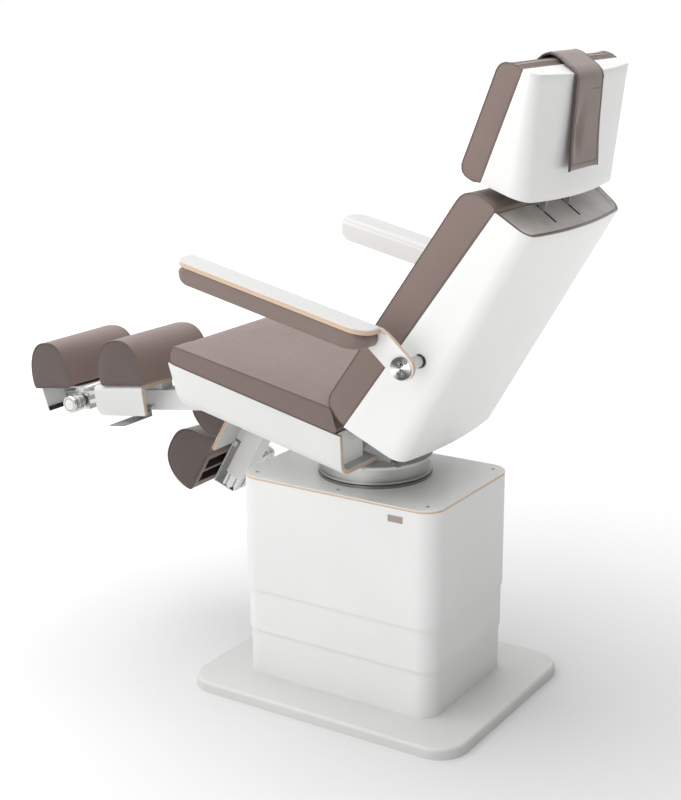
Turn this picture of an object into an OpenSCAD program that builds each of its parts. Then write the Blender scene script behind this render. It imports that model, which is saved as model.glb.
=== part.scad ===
// Podiatry chair: a rotating, tilting treatment chair of bent plywood shells
// on a telescopic lifting column, with two separate leg rests.
// Millimetres. +Z is up, the sitter looks along -Y, +X is the sitter's left.
// The origin is on the floor under the middle of the base plate.

/* [Base and column] */
// Length of the base plate, front to back
base_len = 850; // [780:5:920]
// Width of the base plate
base_w = 674; // [600:2:740]
// Thickness of the base plate
base_t = 31; // [24:1:34]
// Corner radius of the base plate, seen from above
base_corner_r = 85; // [50:1:120]
// Rounding of the base plate's top edge
base_edge = 9; // [4:1:14]
// Length of the outer sleeve of the column
column_len = 612; // [560:2:660]
// Width of the outer sleeve of the column
column_w = 436; // [400:2:480]
// Corner radius of the outer sleeve
column_corner_r = 56; // [40:1:80]
// Distance of the column's middle in front of the base plate's middle
column_forward = 5; // [0:1:30]
// Wall of the column sleeves
sleeve_wall = 3.2; // [2.4:0.2:3.6]
// Inset of each sleeve inside the one above it
sleeve_step = 4; // [3.8:0.1:4.5]
// Height of the column's top above the floor, as photographed
column_top_z = 613; // [600:1:640]
// Thickness of the plate on top of the column
column_top_t = 8; // [6:1:12]
// Width of the badge plate on the column
badge_w = 44; // [25:1:60]

/* [Turntable] */
// Width of the column's top that stays free on each side of the turntable
turntable_rim = 62; // [50:1:76]
// Height of the steel drum
drum_h = 40; // [34:1:46]
// Thickness of the flange on top of the drum
flange_t = 8; // [6:1:10]

/* [Seat] */
// Tilt of the seat above level, in degrees
seat_tilt = 12.3; // [10:0.1:13]
// Width of the seat and of the back
seat_w = 572; // [540:2:600]
// Depth of the seat shell, along its top edge
seat_len = 562; // [530:2:590]
// Height of the seat shell's side wall
seat_wall_h = 104; // [98:1:112]
// Outer radius of the bend under the seat
seat_bend_r = 42; // [30:1:50]
// Thickness of the bent plywood
ply_t = 13; // [10:0.5:15]
// Height of the seat cushion at its front seam
seat_cushion_front_h = 51; // [40:1:60]
// Height of the seat cushion at its rear seam
seat_cushion_rear_h = 64; // [55:1:68]
// Crown of the seat cushion above its seams
seat_crown = 13; // [6:1:16]

/* [Back] */
// Lean of the back from upright, in degrees
back_lean = 35.7; // [33:0.1:38]
// Length of the back shell
back_len = 705; // [680:1:740]
// Depth of the back shell's corners at its lower end
back_depth_low = 168; // [150:1:172]
// Depth of the back shell's corners at its upper end
back_depth_high = 99; // [90:1:110]
// Bulge of the back shell's rear panel
back_bulge = 12; // [4:1:18]
// Thickness of the back cushion at its side seams
back_cushion_t = 93; // [75:1:100]
// Crown of the back cushion
back_crown = 8; // [4:1:16]

/* [Headrest] */
// Width of the headrest
head_w = 536; // [510:2:556]
// Height of the headrest
head_len = 276; // [264:2:288]
// Lean of the headrest from upright, in degrees
head_lean = 21.4; // [20.8:0.1:22]
// Thickness of the headrest cushion at its seams
head_cushion_t = 60; // [50:1:68]
// Lean of the headrest's rods from upright, in degrees
rod_lean = 14; // [13:0.5:15]
// Width of the strap over the headrest
strap_w = 150; // [110:2:170]

/* [Armrests] */
// Length of the armrest board
arm_len = 573; // [520:1:600]
// Width of the armrest board
arm_board_w = 90; // [80:1:100]
// Height of the board's top above the armrest's pivot
arm_rise = 80; // [76:1:90]
// Thickness of the armrest pad
arm_pad_t = 43; // [32:1:46]
// Diameter of the armrest shaft
arm_shaft_d = 30; // [24:1:32]

/* [Leg rests] */
// Distance of each leg cushion's outer side inside the seat's side
leg_inset = 14; // [8:1:24]
// Angle of the left leg rest below level, in degrees
left_leg_drop = 8; // [4:1:14]
// Angle of the right leg rest below level, in degrees
right_leg_drop = 60; // [50:1:64]
// Extension of the left foot slide, as photographed
left_foot_out = 73; // [0:1:80]
// Extension of the right foot slide, as photographed
right_foot_out = 0; // [0:1:20]
// Length of the calf cushion's base along the leg
calf_len = 170; // [150:1:180]
// Height of the calf cushion
calf_h = 128; // [110:1:140]
// Length of the heel cushion's base along the leg
heel_len = 123; // [105:1:130]
// Height of the heel cushion
heel_h = 132; // [115:1:140]
// Diameter of the clamp knob
knob_d = 50; // [40:1:54]

/* [Hidden] */

// Overrun of cuts, clearances and facet counts
over = 2;
soft_gap = 0.4;
run_fit = 0.05;
slide_gap = 0.3;
mesh_n = 10;
$fn = 72;

// Colours
c_white = [0.93, 0.93, 0.92];
c_column = [0.88, 0.88, 0.87];
c_base = [0.83, 0.83, 0.82];
c_leather = [0.52, 0.45, 0.42];
c_steel = [0.70, 0.70, 0.71];
c_dark = [0.12, 0.12, 0.13];

// Column heights, from the floor up
top_under_z = column_top_z - column_top_t;
upper_sleeve_z = 286;
middle_sleeve_z = 164;
lower_sleeve_top = 300;
middle_sleeve_top = 430;
carrier_t = 5;
lift_half = 75;
lift_wall = 5;
lift_outer_top = 290;
lift_middle_z = 158;
lift_inner_z = 284;
column_y = -column_forward;
lift_middle_half = lift_half - lift_wall - slide_gap;
lift_inner_half = lift_middle_half - lift_wall - slide_gap;
plate_screw_r = 5;
plate_screw_h = 1.6;
plate_screw_inset = 30;
badge_h = 18;
badge_t = 2;
badge_down = 26;
badge_y = 188;

// Turntable heights
ring_t = 8;
drum_gap = 3;
turntable_r = column_w / 2 - turntable_rim;
drum_inset = 6;
drum_r = turntable_r - drum_inset;
bearing_inset = 50;
bearing_r = drum_r - bearing_inset;
bolt_inset = 22;
bolt_circle_r = drum_r - bolt_inset;
drum_lip_t = 6;
drum_z = column_top_z + ring_t + drum_gap;
flange_z = drum_z + drum_h;
flange_top = flange_z + flange_t;
spigot_r = 60;
bolt_r = 7;
bolt_h = 5;
bolt_count = 10;
lug_bolts = [0, 1, 4, 5, 8];

// Seat space: origin at the rear end of the shell's top edge, -y forward, z up from the edge
seat_ref_y = 66;
seat_ref_z = 795;
half_w = seat_w / 2;
leg_gap = 8;
leg_w = half_w - leg_gap - leg_inset;
leg_x = leg_gap + leg_w / 2;
seat_front_under = 61;
seat_rear_under = 26;
notch_side = 75;
notch_half_w = leg_x + notch_side;
notch_rear = 372;
drive_cut_front = 122;
frame_t = 10;
rail_side = 44;
rail_x = leg_x + rail_side;
rail_top = -12;
rail_low = -60;
inner_rail_side = 54;
inner_rail_x = leg_x - inner_rail_side;
drive_cut_side = 32;
drive_cut_half_w = inner_rail_x + drive_cut_side;
hinge_side_gap = 1;
inner_rail_rear = 330;
ear_r = 16;
pin_r = 9;
cross_low = -50;
cross_high = -16;
cross_rear = 30;
cross_len = 40;
front_cross = 336;
shelf_t = 5;

// Hinge of the seat on the turntable, in seat space, and its bracket and drive
tilt_forward = 10;
tilt_up = -74;
tilt_ear_r = 14;
tilt_pin_r = 8;
tilt_ear_side = 12;
tilt_ear_x = inner_rail_x - tilt_ear_side;
tilt_bracket_t = 12;
tilt_bracket_x = tilt_ear_x - hinge_side_gap - tilt_bracket_t;
tilt_y = seat_ref_y - tilt_forward * cos(seat_tilt) + tilt_up * sin(seat_tilt);
tilt_z = seat_ref_z + tilt_forward * sin(seat_tilt) + tilt_up * cos(seat_tilt);
bracket_foot_half = 48;
drive_r = 22;
drive_side_gap = 7;
drive_half = tilt_bracket_x - drive_side_gap;
motor_forward = 46;
motor_up = 26;

// Seat cushion: corner radius, rear end's places and rounding of the front
seat_cushion_r = 16;
seat_rear_low = 14;
seat_rear_mid = 10;
seat_rear_top = 42;
seat_front_round = 7;
seat_front_face = 24;

// Hinge of the back on the seat: in seat space, then in back space
back_hinge_forward = -22;
back_hinge_up = 13;
back_hinge_along = -8;
back_hinge_deep = 23;
back_ear_r = 13;
back_pin_r = 6;
back_plate_x = rail_x + frame_t + hinge_side_gap;

// Recline actuator and its lever, in seat space
lever_len = 55;
lever_pin_r = 5;
lever_slot_gap = 0.9;
lever_slot_up = 9;
lever_t = 8;
rod_end_t = 10;
lever_side_gap = 1;
lever_x = rod_end_t / 2 + lever_side_gap;
actuator_r = 24;
actuator_rod_r = 9;
actuator_rear = 130;
actuator_front = 332;

// Back frame and back shell, in back space: y rearward, z up along the back
upright_t = 30;
upright_front = 33;
upright_deep = 46;
upright_low = 16;
upright_top = 660;
back_cross_h = 30;
cross_shares = [0.06, 0.4, 0.68];
lug_deep = upright_deep / 3;
shell_corner_r = 46;
shell_side_taper = 11;
lug_end = half_w - ply_t / cos(shell_side_taper) - slide_gap
    - (upright_front + lug_deep) * tan(shell_side_taper);
cap_recess = 8;
cap_t = 12;
cap_inset = 0.5;
slot_x = 68;
slot_front = 4;
slot_rear = 70;
slot_w = 9;

// Back cushion: corner radius, roundings of its two ends and of its face
back_pad_r = 14;
back_end_low = -4;
back_low_round = 15;
back_high_round = 11;
back_round = 42;

// Armrest pivot, in back space, and its bush
arm_along = 283;
arm_deep = 56;
bush_r = 20;
bush_wall = 3;
bush_rim = 2.5;
wall_x = half_w - arm_deep * tan(shell_side_taper);

// Armrest, in arm space: origin on the pivot, y rearward, z up, x outwards
arm_side_gap = 59;
arm_plate_x = half_w + arm_side_gap;
arm_bend_r = 20;
arm_end_r = 32;
arm_slope = 29.5;
arm_rear_end = 72;
arm_front_end = arm_len + arm_rear_end;
arm_front_r = 34;
arm_rear_r = 52;
arm_pad_inset = 3;
flange_drop = 63;
disc_r = 28;
disc_t = 6;
disc_screw_r = 5;
disc_screw_out = 12;
disc_screw_turn = 12;

// Headrest carriage, in back space, and the rods, in rod space
head_pivot_along = 608;
head_pivot_deep = 58;
carriage_r = 11;
rod_w = 16;
rod_t = 6;
rod_low = -92;
rod_high = 192;
bracket_deep = 103.3;
bracket_rear = 30.3;
bracket_t = 10;

// Headrest, in head space: origin at its lower front edge
head_bottom = 160;
head_front = -79;
head_depth_low = 118;
head_depth_high = 36;
head_bulge = 16;
head_corner_r = 52;
head_taper = 3;
head_pad_r = 24;
head_round = 22;

// Strap over the headrest: its path as shares of the headrest's length, of the cushion's
// thickness in front and of the shell's depth behind
strap_t = 5;
strap_lift = 3;
strap_front_shares = [[1.17, 0.74], [1.17, 0.86], [1.03, 0.94], [0.92, 0.995], [0.7, 1.018], [0.25, 1.02]];
strap_rear_shares = [[0.3, 1.012], [0.9, 1.008], [1.1, 0.995], [1.2, 0.96]];
strap_hang_shares = [0.85, 0.65, 0.45, 0.24];

// Leg hinge, in seat space
leg_hinge_forward = 512;
leg_hinge_up = -22;

// Leg rest, in leg space: origin on the hinge axis, -y towards the foot, z up
arm_box_w = 61;
arm_box_h = 57;
arm_box_wall = 4;
arm_low = -122;
arm_high = arm_low + arm_box_h;
arm_rear = 24;
arm_tip = 430;
arm_chamfer = 14;
knuckle_r = 16;
board_t = 12;
board_knee = 161;
board_foot = 336;
board_drop = 85;
board_bend_r = 16;
board_corner_r = 26;
riser_half = 24;
riser_knee = 180;
riser_foot = 320;

// Leg cushions: seen from the side, a D that leans towards the foot
calf_base = -30;
calf_mid = 222;
heel_mid = 427;
heel_bulge = 6;
cushion_lean = 20;
cushion_end = 5;
profile_n = 26;
pocket_deep = 34;
pocket_wall = 18;
pocket_rib = 9;

// Clamp of the foot slide
knob_along = 412;
knob_up = -78;
knob_side = 110;
knob_x = leg_x + knob_side;
knob_len = 50;
knob_shaft_r = 6;
knob_flutes = 12;
clamp_side = 101;
bracket_plate_x = leg_x + clamp_side;
clamp_t = 4;
clamp_knee = 388;
clamp_foot = 426;
clamp_low = -104;
clamp_high = -57;

// Foot slide, in foot space: leg space moved out with the slide
foot_plate_t = 4;
foot_plate_side = 25;
foot_plate_x = leg_x - foot_plate_side;
foot_plate_w = 130;
foot_end = 480;
foot_lip = 493;
foot_flange_start = 339;
foot_flange_up = -41.5;
foot_low = -110;
heel_base = foot_flange_up + foot_plate_t;
pull_rod_r = 4;
pull_rod_along = 335;
pull_rod_up = -48;
rail_inside = 157;
rail_end = foot_end - foot_plate_t + over;
groove_w = 8;
groove_deep = 5;
strip_h = 12;
strip_t = 5;

// Release lever under the leg arm
lever_side = 39;
lever_axis_x = leg_x + lever_side;
lever_axis_up = -114;
lever_barrel_r = 6;
lever_pin_small_r = 3;
lug_t = 5;
paddle_knee = 214;
paddle_foot = 271;
paddle_up = -137;
paddle_t = 2.5;
paddle_reach = 162;
paddle_tip_x = leg_x + paddle_reach;

// A rounded rectangle, middle at the origin, made of true arcs
module rounded_rect(w, l, r) {
    square([w, l - 2 * r], center = true);
    square([w - 2 * r, l], center = true);
    for (x = [-1, 1], y = [-1, 1])
        translate([x * (w / 2 - r), y * (l / 2 - r)]) circle(r);
}

// Points on an arc
function arc(cx, cy, r, from, to, n) =
    [for (i = [0:n]) [cx + r * cos(from + (to - from) * i / n), cy + r * sin(from + (to - from) * i / n)]];

// Right half of a U-shaped section, from its front edge round to the middle of its rear panel
function u_half(w, d, taper, r, bulge) =
    let (cy = d - r,
         cx = w - (r + cy * sin(taper)) / cos(taper),
         last = 90 - atan(2 * bulge / cx),
         round_part = arc(cx, cy, r, taper, last, mesh_n),
         tip = round_part[mesh_n])
    concat([[w, 0]], round_part,
        [for (i = [1:mesh_n]) let (x = tip.x * (1 - i / mesh_n))
            [x, tip.y + bulge * (1 - pow(x / tip.x, 2))]]);

// The whole closed section, anticlockwise
function u_section(w, d, taper, r, bulge) =
    let (half = u_half(w, d, taper, r, bulge), n = len(half))
    concat(half, [for (i = [n - 2:-1:0]) [-half[i].x, half[i].y]]);

// A section at a height
function lift_section(section, z) = [for (p = section) [p.x, p.y, z]];

// An inner section whose open front is carried out past the shell's edge
function open_front(section, edge) = concat([[edge, -over]], section, [[-edge, -over]]);

// A solid through rings of points, each anticlockwise seen from the last ring's side
module skin(rings) {
    n = len(rings[0]);
    m = len(rings);
    sides = [for (j = [0:m - 2], i = [0:n - 1])
        let (a = j * n + i, b = j * n + (i + 1) % n)
        each [[a, a + n, b], [b, a + n, b + n]]];
    polyhedron([for (ring = rings) each ring],
        concat(sides, [[for (i = [0:n - 1]) i]], [[for (i = [n - 1:-1:0]) (m - 1) * n + i]]));
}

// One level of a cushion: a rounded rectangle whose height runs from za to zb along y
function pad_ring(hw, ya, yb, r, za, zb) =
    let (corners = [[hw - r, yb - r, 0], [r - hw, yb - r, 90], [r - hw, ya + r, 180], [hw - r, ya + r, 270]])
    [for (c = corners, p = arc(c[0], c[1], r, c[2], c[2] + 90, mesh_n))
        [p.x, p.y, za + (zb - za) * (p.y - ya) / (yb - ya)]];

// A round bar along x
module rod_between(x0, x1, r) {
    translate([x0, 0, 0]) rotate([0, 90, 0]) cylinder(h = x1 - x0, r = r);
}

// A plate across x, its outline drawn in y and z
module side_plate(x, t) {
    translate([x, 0, 0]) rotate([90, 0, 90]) linear_extrude(t) children();
}

module both_sides() {
    children();
    mirror([1, 0, 0]) children();
}

module seat_space() {
    translate([0, seat_ref_y, seat_ref_z]) rotate([-seat_tilt, 0, 0]) children();
}

module back_space() {
    seat_space() translate([0, -back_hinge_forward, back_hinge_up])
        rotate([seat_tilt - back_lean, 0, 0]) translate([0, -back_hinge_deep, -back_hinge_along]) children();
}

module rod_space() {
    back_space() translate([0, head_pivot_deep, head_pivot_along])
        rotate([back_lean - rod_lean, 0, 0]) children();
}

module head_space() {
    rod_space() translate([0, head_front, head_bottom]) rotate([rod_lean - head_lean, 0, 0]) children();
}

module arm_space() {
    back_space() translate([0, arm_deep, arm_along]) rotate([back_lean - seat_tilt, 0, 0]) children();
}

module leg_space(side) {
    mirror([side < 0 ? 1 : 0, 0, 0]) seat_space()
        translate([0, -leg_hinge_forward, leg_hinge_up])
            rotate([seat_tilt + (side > 0 ? left_leg_drop : right_leg_drop), 0, 0]) children();
}

module foot_space(side) {
    leg_space(side) translate([0, side > 0 ? -left_foot_out : -right_foot_out, 0]) children();
}

// Base and lifting column

module base_plate() {
    color(c_base) {
        linear_extrude(base_t - base_edge) rounded_rect(base_w, base_len, base_corner_r);
        hull() for (i = [0:4]) {
            turn = 90 * i / 4;
            inset = base_edge * (1 - cos(turn));
            translate([0, 0, base_t - base_edge])
                linear_extrude(base_edge * sin(turn) + (i == 0 ? base_edge / 100 : 0))
                    rounded_rect(base_w - 2 * inset, base_len - 2 * inset, base_corner_r - inset);
        }
    }
}

module sleeve(level, z0, z1) {
    inset = sleeve_step * level;
    translate([0, column_y, z0]) linear_extrude(z1 - z0) difference() {
        rounded_rect(column_w - 2 * inset, column_len - 2 * inset, column_corner_r - inset);
        rounded_rect(column_w - 2 * (inset + sleeve_wall), column_len - 2 * (inset + sleeve_wall),
            column_corner_r - inset - sleeve_wall);
    }
}

module box_tube(half, z0, z1) {
    translate([0, column_y, z0]) linear_extrude(z1 - z0) difference() {
        square(2 * half, center = true);
        square(2 * (half - lift_wall), center = true);
    }
}

module lower_sleeve() {
    color(c_column) sleeve(2, base_t, lower_sleeve_top);
}

module lift_tube_outer() {
    color(c_steel) box_tube(lift_half, base_t, lift_outer_top);
}

module middle_sleeve() {
    color(c_column) {
        sleeve(1, middle_sleeve_z, middle_sleeve_top);
        // Carrier plate that hangs the sleeve on the middle lift tube
        translate([0, column_y, middle_sleeve_top - carrier_t]) linear_extrude(carrier_t) difference() {
            rounded_rect(column_w - 2 * (sleeve_step + sleeve_wall) + over,
                column_len - 2 * (sleeve_step + sleeve_wall) + over,
                column_corner_r - sleeve_step - sleeve_wall);
            square(2 * lift_middle_half, center = true);
        }
    }
}

module lift_tube_middle() {
    color(c_steel) box_tube(lift_middle_half, lift_middle_z, middle_sleeve_top);
}

module upper_sleeve() {
    color(c_column) difference() {
        sleeve(0, upper_sleeve_z, top_under_z);
        translate([column_w / 2 - badge_t / 2, badge_y - badge_w / 2, column_top_z - badge_down - badge_h])
            cube([badge_t, badge_w, badge_h]);
    }
}

module lift_tube_inner() {
    color(c_steel) box_tube(lift_inner_half, lift_inner_z, top_under_z);
}

module column_top_plate() {
    color(c_white) translate([0, column_y, top_under_z])
        linear_extrude(column_top_t) rounded_rect(column_w, column_len, column_corner_r);
}

module top_plate_screws() {
    color(c_steel) for (x = [-1, 1], y = [-1, 0, 1])
        translate([x * (column_w / 2 - plate_screw_inset * (y == 0 ? 1 : 1.3)),
            column_y + y * (column_len / 2 - plate_screw_inset * 1.3), column_top_z]) difference() {
                cylinder(h = plate_screw_h, r = plate_screw_r);
                translate([0, 0, plate_screw_h / 2])
                    cylinder(h = plate_screw_h, r = plate_screw_r / 2, $fn = 6);
            }
}

module badge_plate() {
    color(c_leather)
        translate([column_w / 2 - badge_t / 2, badge_y - badge_w / 2, column_top_z - badge_down - badge_h])
            cube([badge_t, badge_w, badge_h]);
}

// Turntable

module turntable_base() {
    color(c_steel) translate([0, column_y, column_top_z]) {
        cylinder(h = ring_t, r = turntable_r, $fn = 120);
        cylinder(h = ring_t + drum_gap - slide_gap, r = bearing_r);
        cylinder(h = ring_t + drum_gap + drum_h / 2, r = spigot_r);
    }
}

module turntable_drum() {
    color(c_steel) translate([0, column_y, drum_z]) difference() {
        union() {
            cylinder(h = drum_h, r = drum_r, $fn = 120);
            cylinder(h = drum_lip_t, r = turntable_r, $fn = 120);
        }
        translate([0, 0, -over]) cylinder(h = drum_h / 2 + over + slide_gap, r = spigot_r + run_fit);
    }
}

module turntable_flange() {
    lug_w = 2 * bolt_r;
    color(c_white) translate([0, column_y, flange_z]) {
        linear_extrude(flange_t / 2) circle(turntable_r, $fn = 120);
        // The upper half has lugs that stand out of it, one at each side bolt
        translate([0, 0, flange_t / 2]) linear_extrude(flange_t / 2) {
            circle(turntable_r, $fn = 120);
            for (i = lug_bolts) rotate(360 * (i + 0.5) / bolt_count)
                translate([turntable_r - lug_w, -lug_w / 2]) square([1.6 * lug_w, lug_w]);
        }
    }
}

module flange_bolts() {
    color(c_steel) translate([0, column_y, flange_top]) for (i = [0:bolt_count - 1])
        rotate(360 * (i + 0.5) / bolt_count) translate([bolt_circle_r, 0, 0]) difference() {
            cylinder(h = bolt_h, r = bolt_r, $fn = 32);
            translate([0, 0, bolt_h / 2]) cylinder(h = bolt_h, r = bolt_r / 2, $fn = 6);
        }
}

module tilt_bracket() {
    color(c_white) {
        both_sides() difference() {
            side_plate(tilt_bracket_x, tilt_bracket_t) {
                translate([tilt_y, tilt_z]) circle(tilt_ear_r);
                polygon([[tilt_y - bracket_foot_half, flange_top], [tilt_y + bracket_foot_half, flange_top],
                    [tilt_y + bracket_foot_half, flange_top + flange_t],
                    [tilt_y + tilt_ear_r * cos(20), tilt_z + tilt_ear_r * sin(20)],
                    [tilt_y - tilt_ear_r * cos(20), tilt_z + tilt_ear_r * sin(20)],
                    [tilt_y - bracket_foot_half, flange_top + flange_t]]);
            }
            translate([0, tilt_y, tilt_z]) rod_between(tilt_bracket_x - over,
                tilt_bracket_x + tilt_bracket_t + over, tilt_pin_r + run_fit);
        }
        translate([-tilt_bracket_x, tilt_y - bracket_foot_half, flange_top])
            cube([2 * tilt_bracket_x, bracket_foot_half / 2, flange_t / 2]);
    }
}

module tilt_drive() {
    color(c_dark) difference() {
        union() {
            translate([0, tilt_y, tilt_z]) rod_between(-drive_half, drive_half, drive_r);
            translate([0, tilt_y - motor_forward, flange_top + motor_up])
                rod_between(-drive_half, drive_half, drive_r - over);
            // Block that stands on the bracket's cross foot
            translate([-drive_half / 2, tilt_y - motor_forward, flange_top + flange_t / 2])
                cube([drive_half, motor_forward, tilt_z - flange_top - flange_t / 2]);
        }
        translate([0, tilt_y, tilt_z])
            rod_between(-drive_half - over, drive_half + over, tilt_pin_r + run_fit);
    }
}

// Seat

// A U-shaped outline that hangs from its edge line
module u_outline(half, r, h) {
    translate([-half, r - h]) square([2 * half, h - r]);
    translate([r - half, -h]) square([2 * (half - r), h]);
    for (x = [-1, 1]) translate([x * (half - r), r - h]) circle(r);
}

module seat_shell() {
    color(c_white) seat_space() difference() {
        intersection() {
            translate([0, seat_rear_under, 0]) rotate([90, 0, 0]) linear_extrude(seat_len + seat_rear_under)
                difference() {
                    u_outline(half_w, seat_bend_r, seat_wall_h);
                    u_outline(half_w - ply_t, seat_bend_r - ply_t, seat_wall_h - ply_t);
                    translate([ply_t - half_w, -over]) square([seat_w - 2 * ply_t, 2 * over]);
                }
            side_plate(-half_w - over, seat_w + 2 * over) polygon([[0, over], [-seat_len, over],
                [-seat_len, 0], [seat_front_under - seat_len, -seat_wall_h],
                [seat_rear_under, -seat_wall_h]]);
        }
        // Notch under the knees, for the leg rests to swing down
        translate([-notch_half_w, -seat_len - over, -seat_wall_h - over])
            cube([2 * notch_half_w, seat_len - notch_rear, ply_t + 2 * over]);
        // Cut-out over the turntable, for the tilt bracket and drive
        translate([-drive_cut_half_w, -drive_cut_front, -seat_wall_h - over])
            cube([2 * drive_cut_half_w, drive_cut_front + 2 * seat_rear_under, ply_t + 2 * over]);
    }
}

// Outline of an outer rail with the ears of the back hinge and of the leg hinge
module outer_rail_outline() {
    translate([-back_hinge_forward, back_hinge_up]) circle(back_ear_r);
    translate([-leg_hinge_forward, leg_hinge_up]) circle(ear_r);
    polygon([[back_ear_r - back_hinge_forward, back_hinge_up],
        [-back_hinge_forward - back_ear_r, back_hinge_up],
        [-back_hinge_forward - 1.6 * back_ear_r, rail_top], [-leg_hinge_forward, leg_hinge_up + ear_r / 2],
        [-leg_hinge_forward, leg_hinge_up - ear_r], [-front_cross, rail_low], [-cross_rear, rail_low]]);
}

// Outline of an inner rail, beside a leg arm
module inner_rail_outline() {
    translate([-leg_hinge_forward, leg_hinge_up]) circle(ear_r);
    polygon([[-inner_rail_rear, rail_top], [-leg_hinge_forward, leg_hinge_up + ear_r / 2],
        [-leg_hinge_forward, leg_hinge_up - ear_r], [-front_cross, rail_low], [-inner_rail_rear, rail_low]]);
}

module seat_frame() {
    color(c_steel) seat_space() difference() {
        union() {
            both_sides() side_plate(rail_x, frame_t) outer_rail_outline();
            both_sides() side_plate(inner_rail_x, frame_t) inner_rail_outline();
            // Cross tubes, and the shelves on which the shell's walls hang
            for (a = [cross_rear, front_cross]) {
                translate([-rail_x, -a - cross_len, cross_low])
                    cube([2 * rail_x, cross_len, cross_high - cross_low]);
                both_sides() translate([rail_x, -a - cross_len, cross_low])
                    cube([half_w - ply_t - rail_x, cross_len, shelf_t]);
            }
            // Ears of the tilt hinge under the rear cross tube
            both_sides() side_plate(tilt_ear_x, frame_t) {
                translate([-tilt_forward, tilt_up]) circle(tilt_ear_r);
                polygon([[-cross_rear - cross_len, cross_low], [-cross_rear, cross_low + over],
                    [tilt_ear_r - tilt_forward, tilt_up], [-tilt_forward - tilt_ear_r, tilt_up - over]]);
            }
        }
        translate([0, -back_hinge_forward, back_hinge_up]) rod_between(-half_w, half_w, back_pin_r + run_fit);
        translate([0, -leg_hinge_forward, leg_hinge_up]) rod_between(-half_w, half_w, pin_r + run_fit);
        translate([0, -tilt_forward, tilt_up]) rod_between(-half_w, half_w, tilt_pin_r + run_fit);
        // Hole in the rear cross tube for the recline rod
        translate([0, over - cross_rear, back_hinge_up - lever_len]) rotate([90, 0, 0])
            cylinder(h = cross_len + 2 * over, r = actuator_rod_r + over);
    }
}

module hinge_pins() {
    color(c_steel) seat_space() {
        both_sides() translate([0, -back_hinge_forward, back_hinge_up])
            rod_between(rail_x - over, back_plate_x + frame_t + over, back_pin_r);
        translate([0, -leg_hinge_forward, leg_hinge_up])
            rod_between(-rail_x - frame_t - over, rail_x + frame_t + over, pin_r);
        translate([0, -tilt_forward, tilt_up])
            rod_between(-tilt_ear_x - frame_t - over, tilt_ear_x + frame_t + over, tilt_pin_r);
    }
}

// One level of the seat cushion: inset of the sides and the front, place of the rear end
function seat_level(side, front, rear, share, rise) =
    pad_ring(half_w - side, front - seat_len, -rear, seat_cushion_r,
        soft_gap + (seat_cushion_front_h - soft_gap) * share + rise,
        soft_gap + (seat_cushion_rear_h - soft_gap) * share + rise);

module seat_cushion() {
    pull = seat_front_round / 4;
    face = seat_front_face;
    rear = seat_rear_top;
    color(c_leather) seat_space() skin([
        seat_level(pull * 2, pull * 2, seat_rear_low, 0, 0),
        seat_level(0, 0, seat_rear_mid, 0.2, 0),
        seat_level(pull / 2, pull / 2, (seat_rear_mid + rear) / 2, 0.6, 0),
        seat_level(pull / 2, pull, rear, 0.97, 0),
        seat_level(pull * 1.5, seat_front_round, rear + pull * 3, 1.03, 0),
        seat_level(face, face * 1.4, rear + face, 1, seat_crown * 0.35),
        seat_level(face * 3, face * 3, rear + face * 3, 1, seat_crown * 0.75),
        seat_level(face * 7, face * 7, rear + face * 6, 1, seat_crown)]);
}

// Recline drive, in line with the end of the back's lever

module recline_actuator() {
    color(c_dark) seat_space() translate([0, 0, back_hinge_up - lever_len]) difference() {
        union() {
            translate([0, -actuator_rear, 0]) rotate([90, 0, 0])
                cylinder(h = actuator_front - actuator_rear, r = actuator_r);
            translate([-actuator_r, -actuator_front, -actuator_r])
                cube([2 * actuator_r, actuator_r, 2 * actuator_r]);
            translate([-actuator_r, -front_cross, -actuator_r / 2])
                cube([2 * actuator_r, front_cross - actuator_front, actuator_r]);
        }
        translate([0, over - actuator_rear, 0]) rotate([90, 0, 0])
            cylinder(h = 3 * actuator_r + over, r = actuator_rod_r + run_fit);
    }
}

module recline_rod() {
    slot_half = lever_pin_r + lever_slot_gap;
    rod_rear = -back_hinge_forward - 2 * actuator_rod_r;
    color(c_steel) seat_space() translate([0, 0, back_hinge_up - lever_len]) difference() {
        union() {
            translate([0, rod_rear, 0]) rotate([90, 0, 0])
                cylinder(h = actuator_rear + rod_rear + 1.4 * actuator_r, r = actuator_rod_r);
            translate([-rod_end_t / 2, -back_hinge_forward - 2.4 * actuator_rod_r, -actuator_rod_r])
                cube([rod_end_t, 4 * actuator_rod_r, 3 * actuator_rod_r]);
        }
        // Slot in which the lever's pin slides
        side_plate(-rod_end_t, 2 * rod_end_t) translate([-back_hinge_forward - slot_half, -slot_half])
            square([2 * slot_half, 2 * slot_half + lever_slot_up]);
    }
}

// Back

function back_section(along, inset) =
    let (depth = back_depth_low + (back_depth_high - back_depth_low) * along / back_len)
    u_section(half_w - inset / cos(shell_side_taper), depth - inset, shell_side_taper,
        shell_corner_r - inset, back_bulge);

module back_shell() {
    edge = half_w - ply_t;
    color(c_white) back_space() difference() {
        skin([lift_section(back_section(0, 0), 0), lift_section(back_section(back_len, 0), back_len)]);
        skin([for (along = [-over, back_len + over])
            lift_section(open_front(back_section(along, ply_t), edge), along)]);
        // Holes for the armrest bushes
        translate([0, arm_deep, arm_along]) rod_between(-half_w - over, half_w + over, bush_r);
    }
}

module back_cap() {
    low = back_len - cap_recess - cap_t;
    color(c_base) back_space() difference() {
        skin([for (along = [low, low + cap_t]) lift_section(back_section(along, ply_t + cap_inset), along)]);
        // Slots for the headrest's rods
        both_sides() translate([slot_x - slot_w / 2, slot_front, low - over])
            cube([slot_w, slot_rear - slot_front, cap_t + 2 * over]);
    }
}

// One level of the back cushion: inset of the sides, two ends, thickness at the two ends
function back_level(side, low, high, t_low, t_high) =
    pad_ring(half_w - side, low, high, back_pad_r, t_low, t_high);

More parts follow.
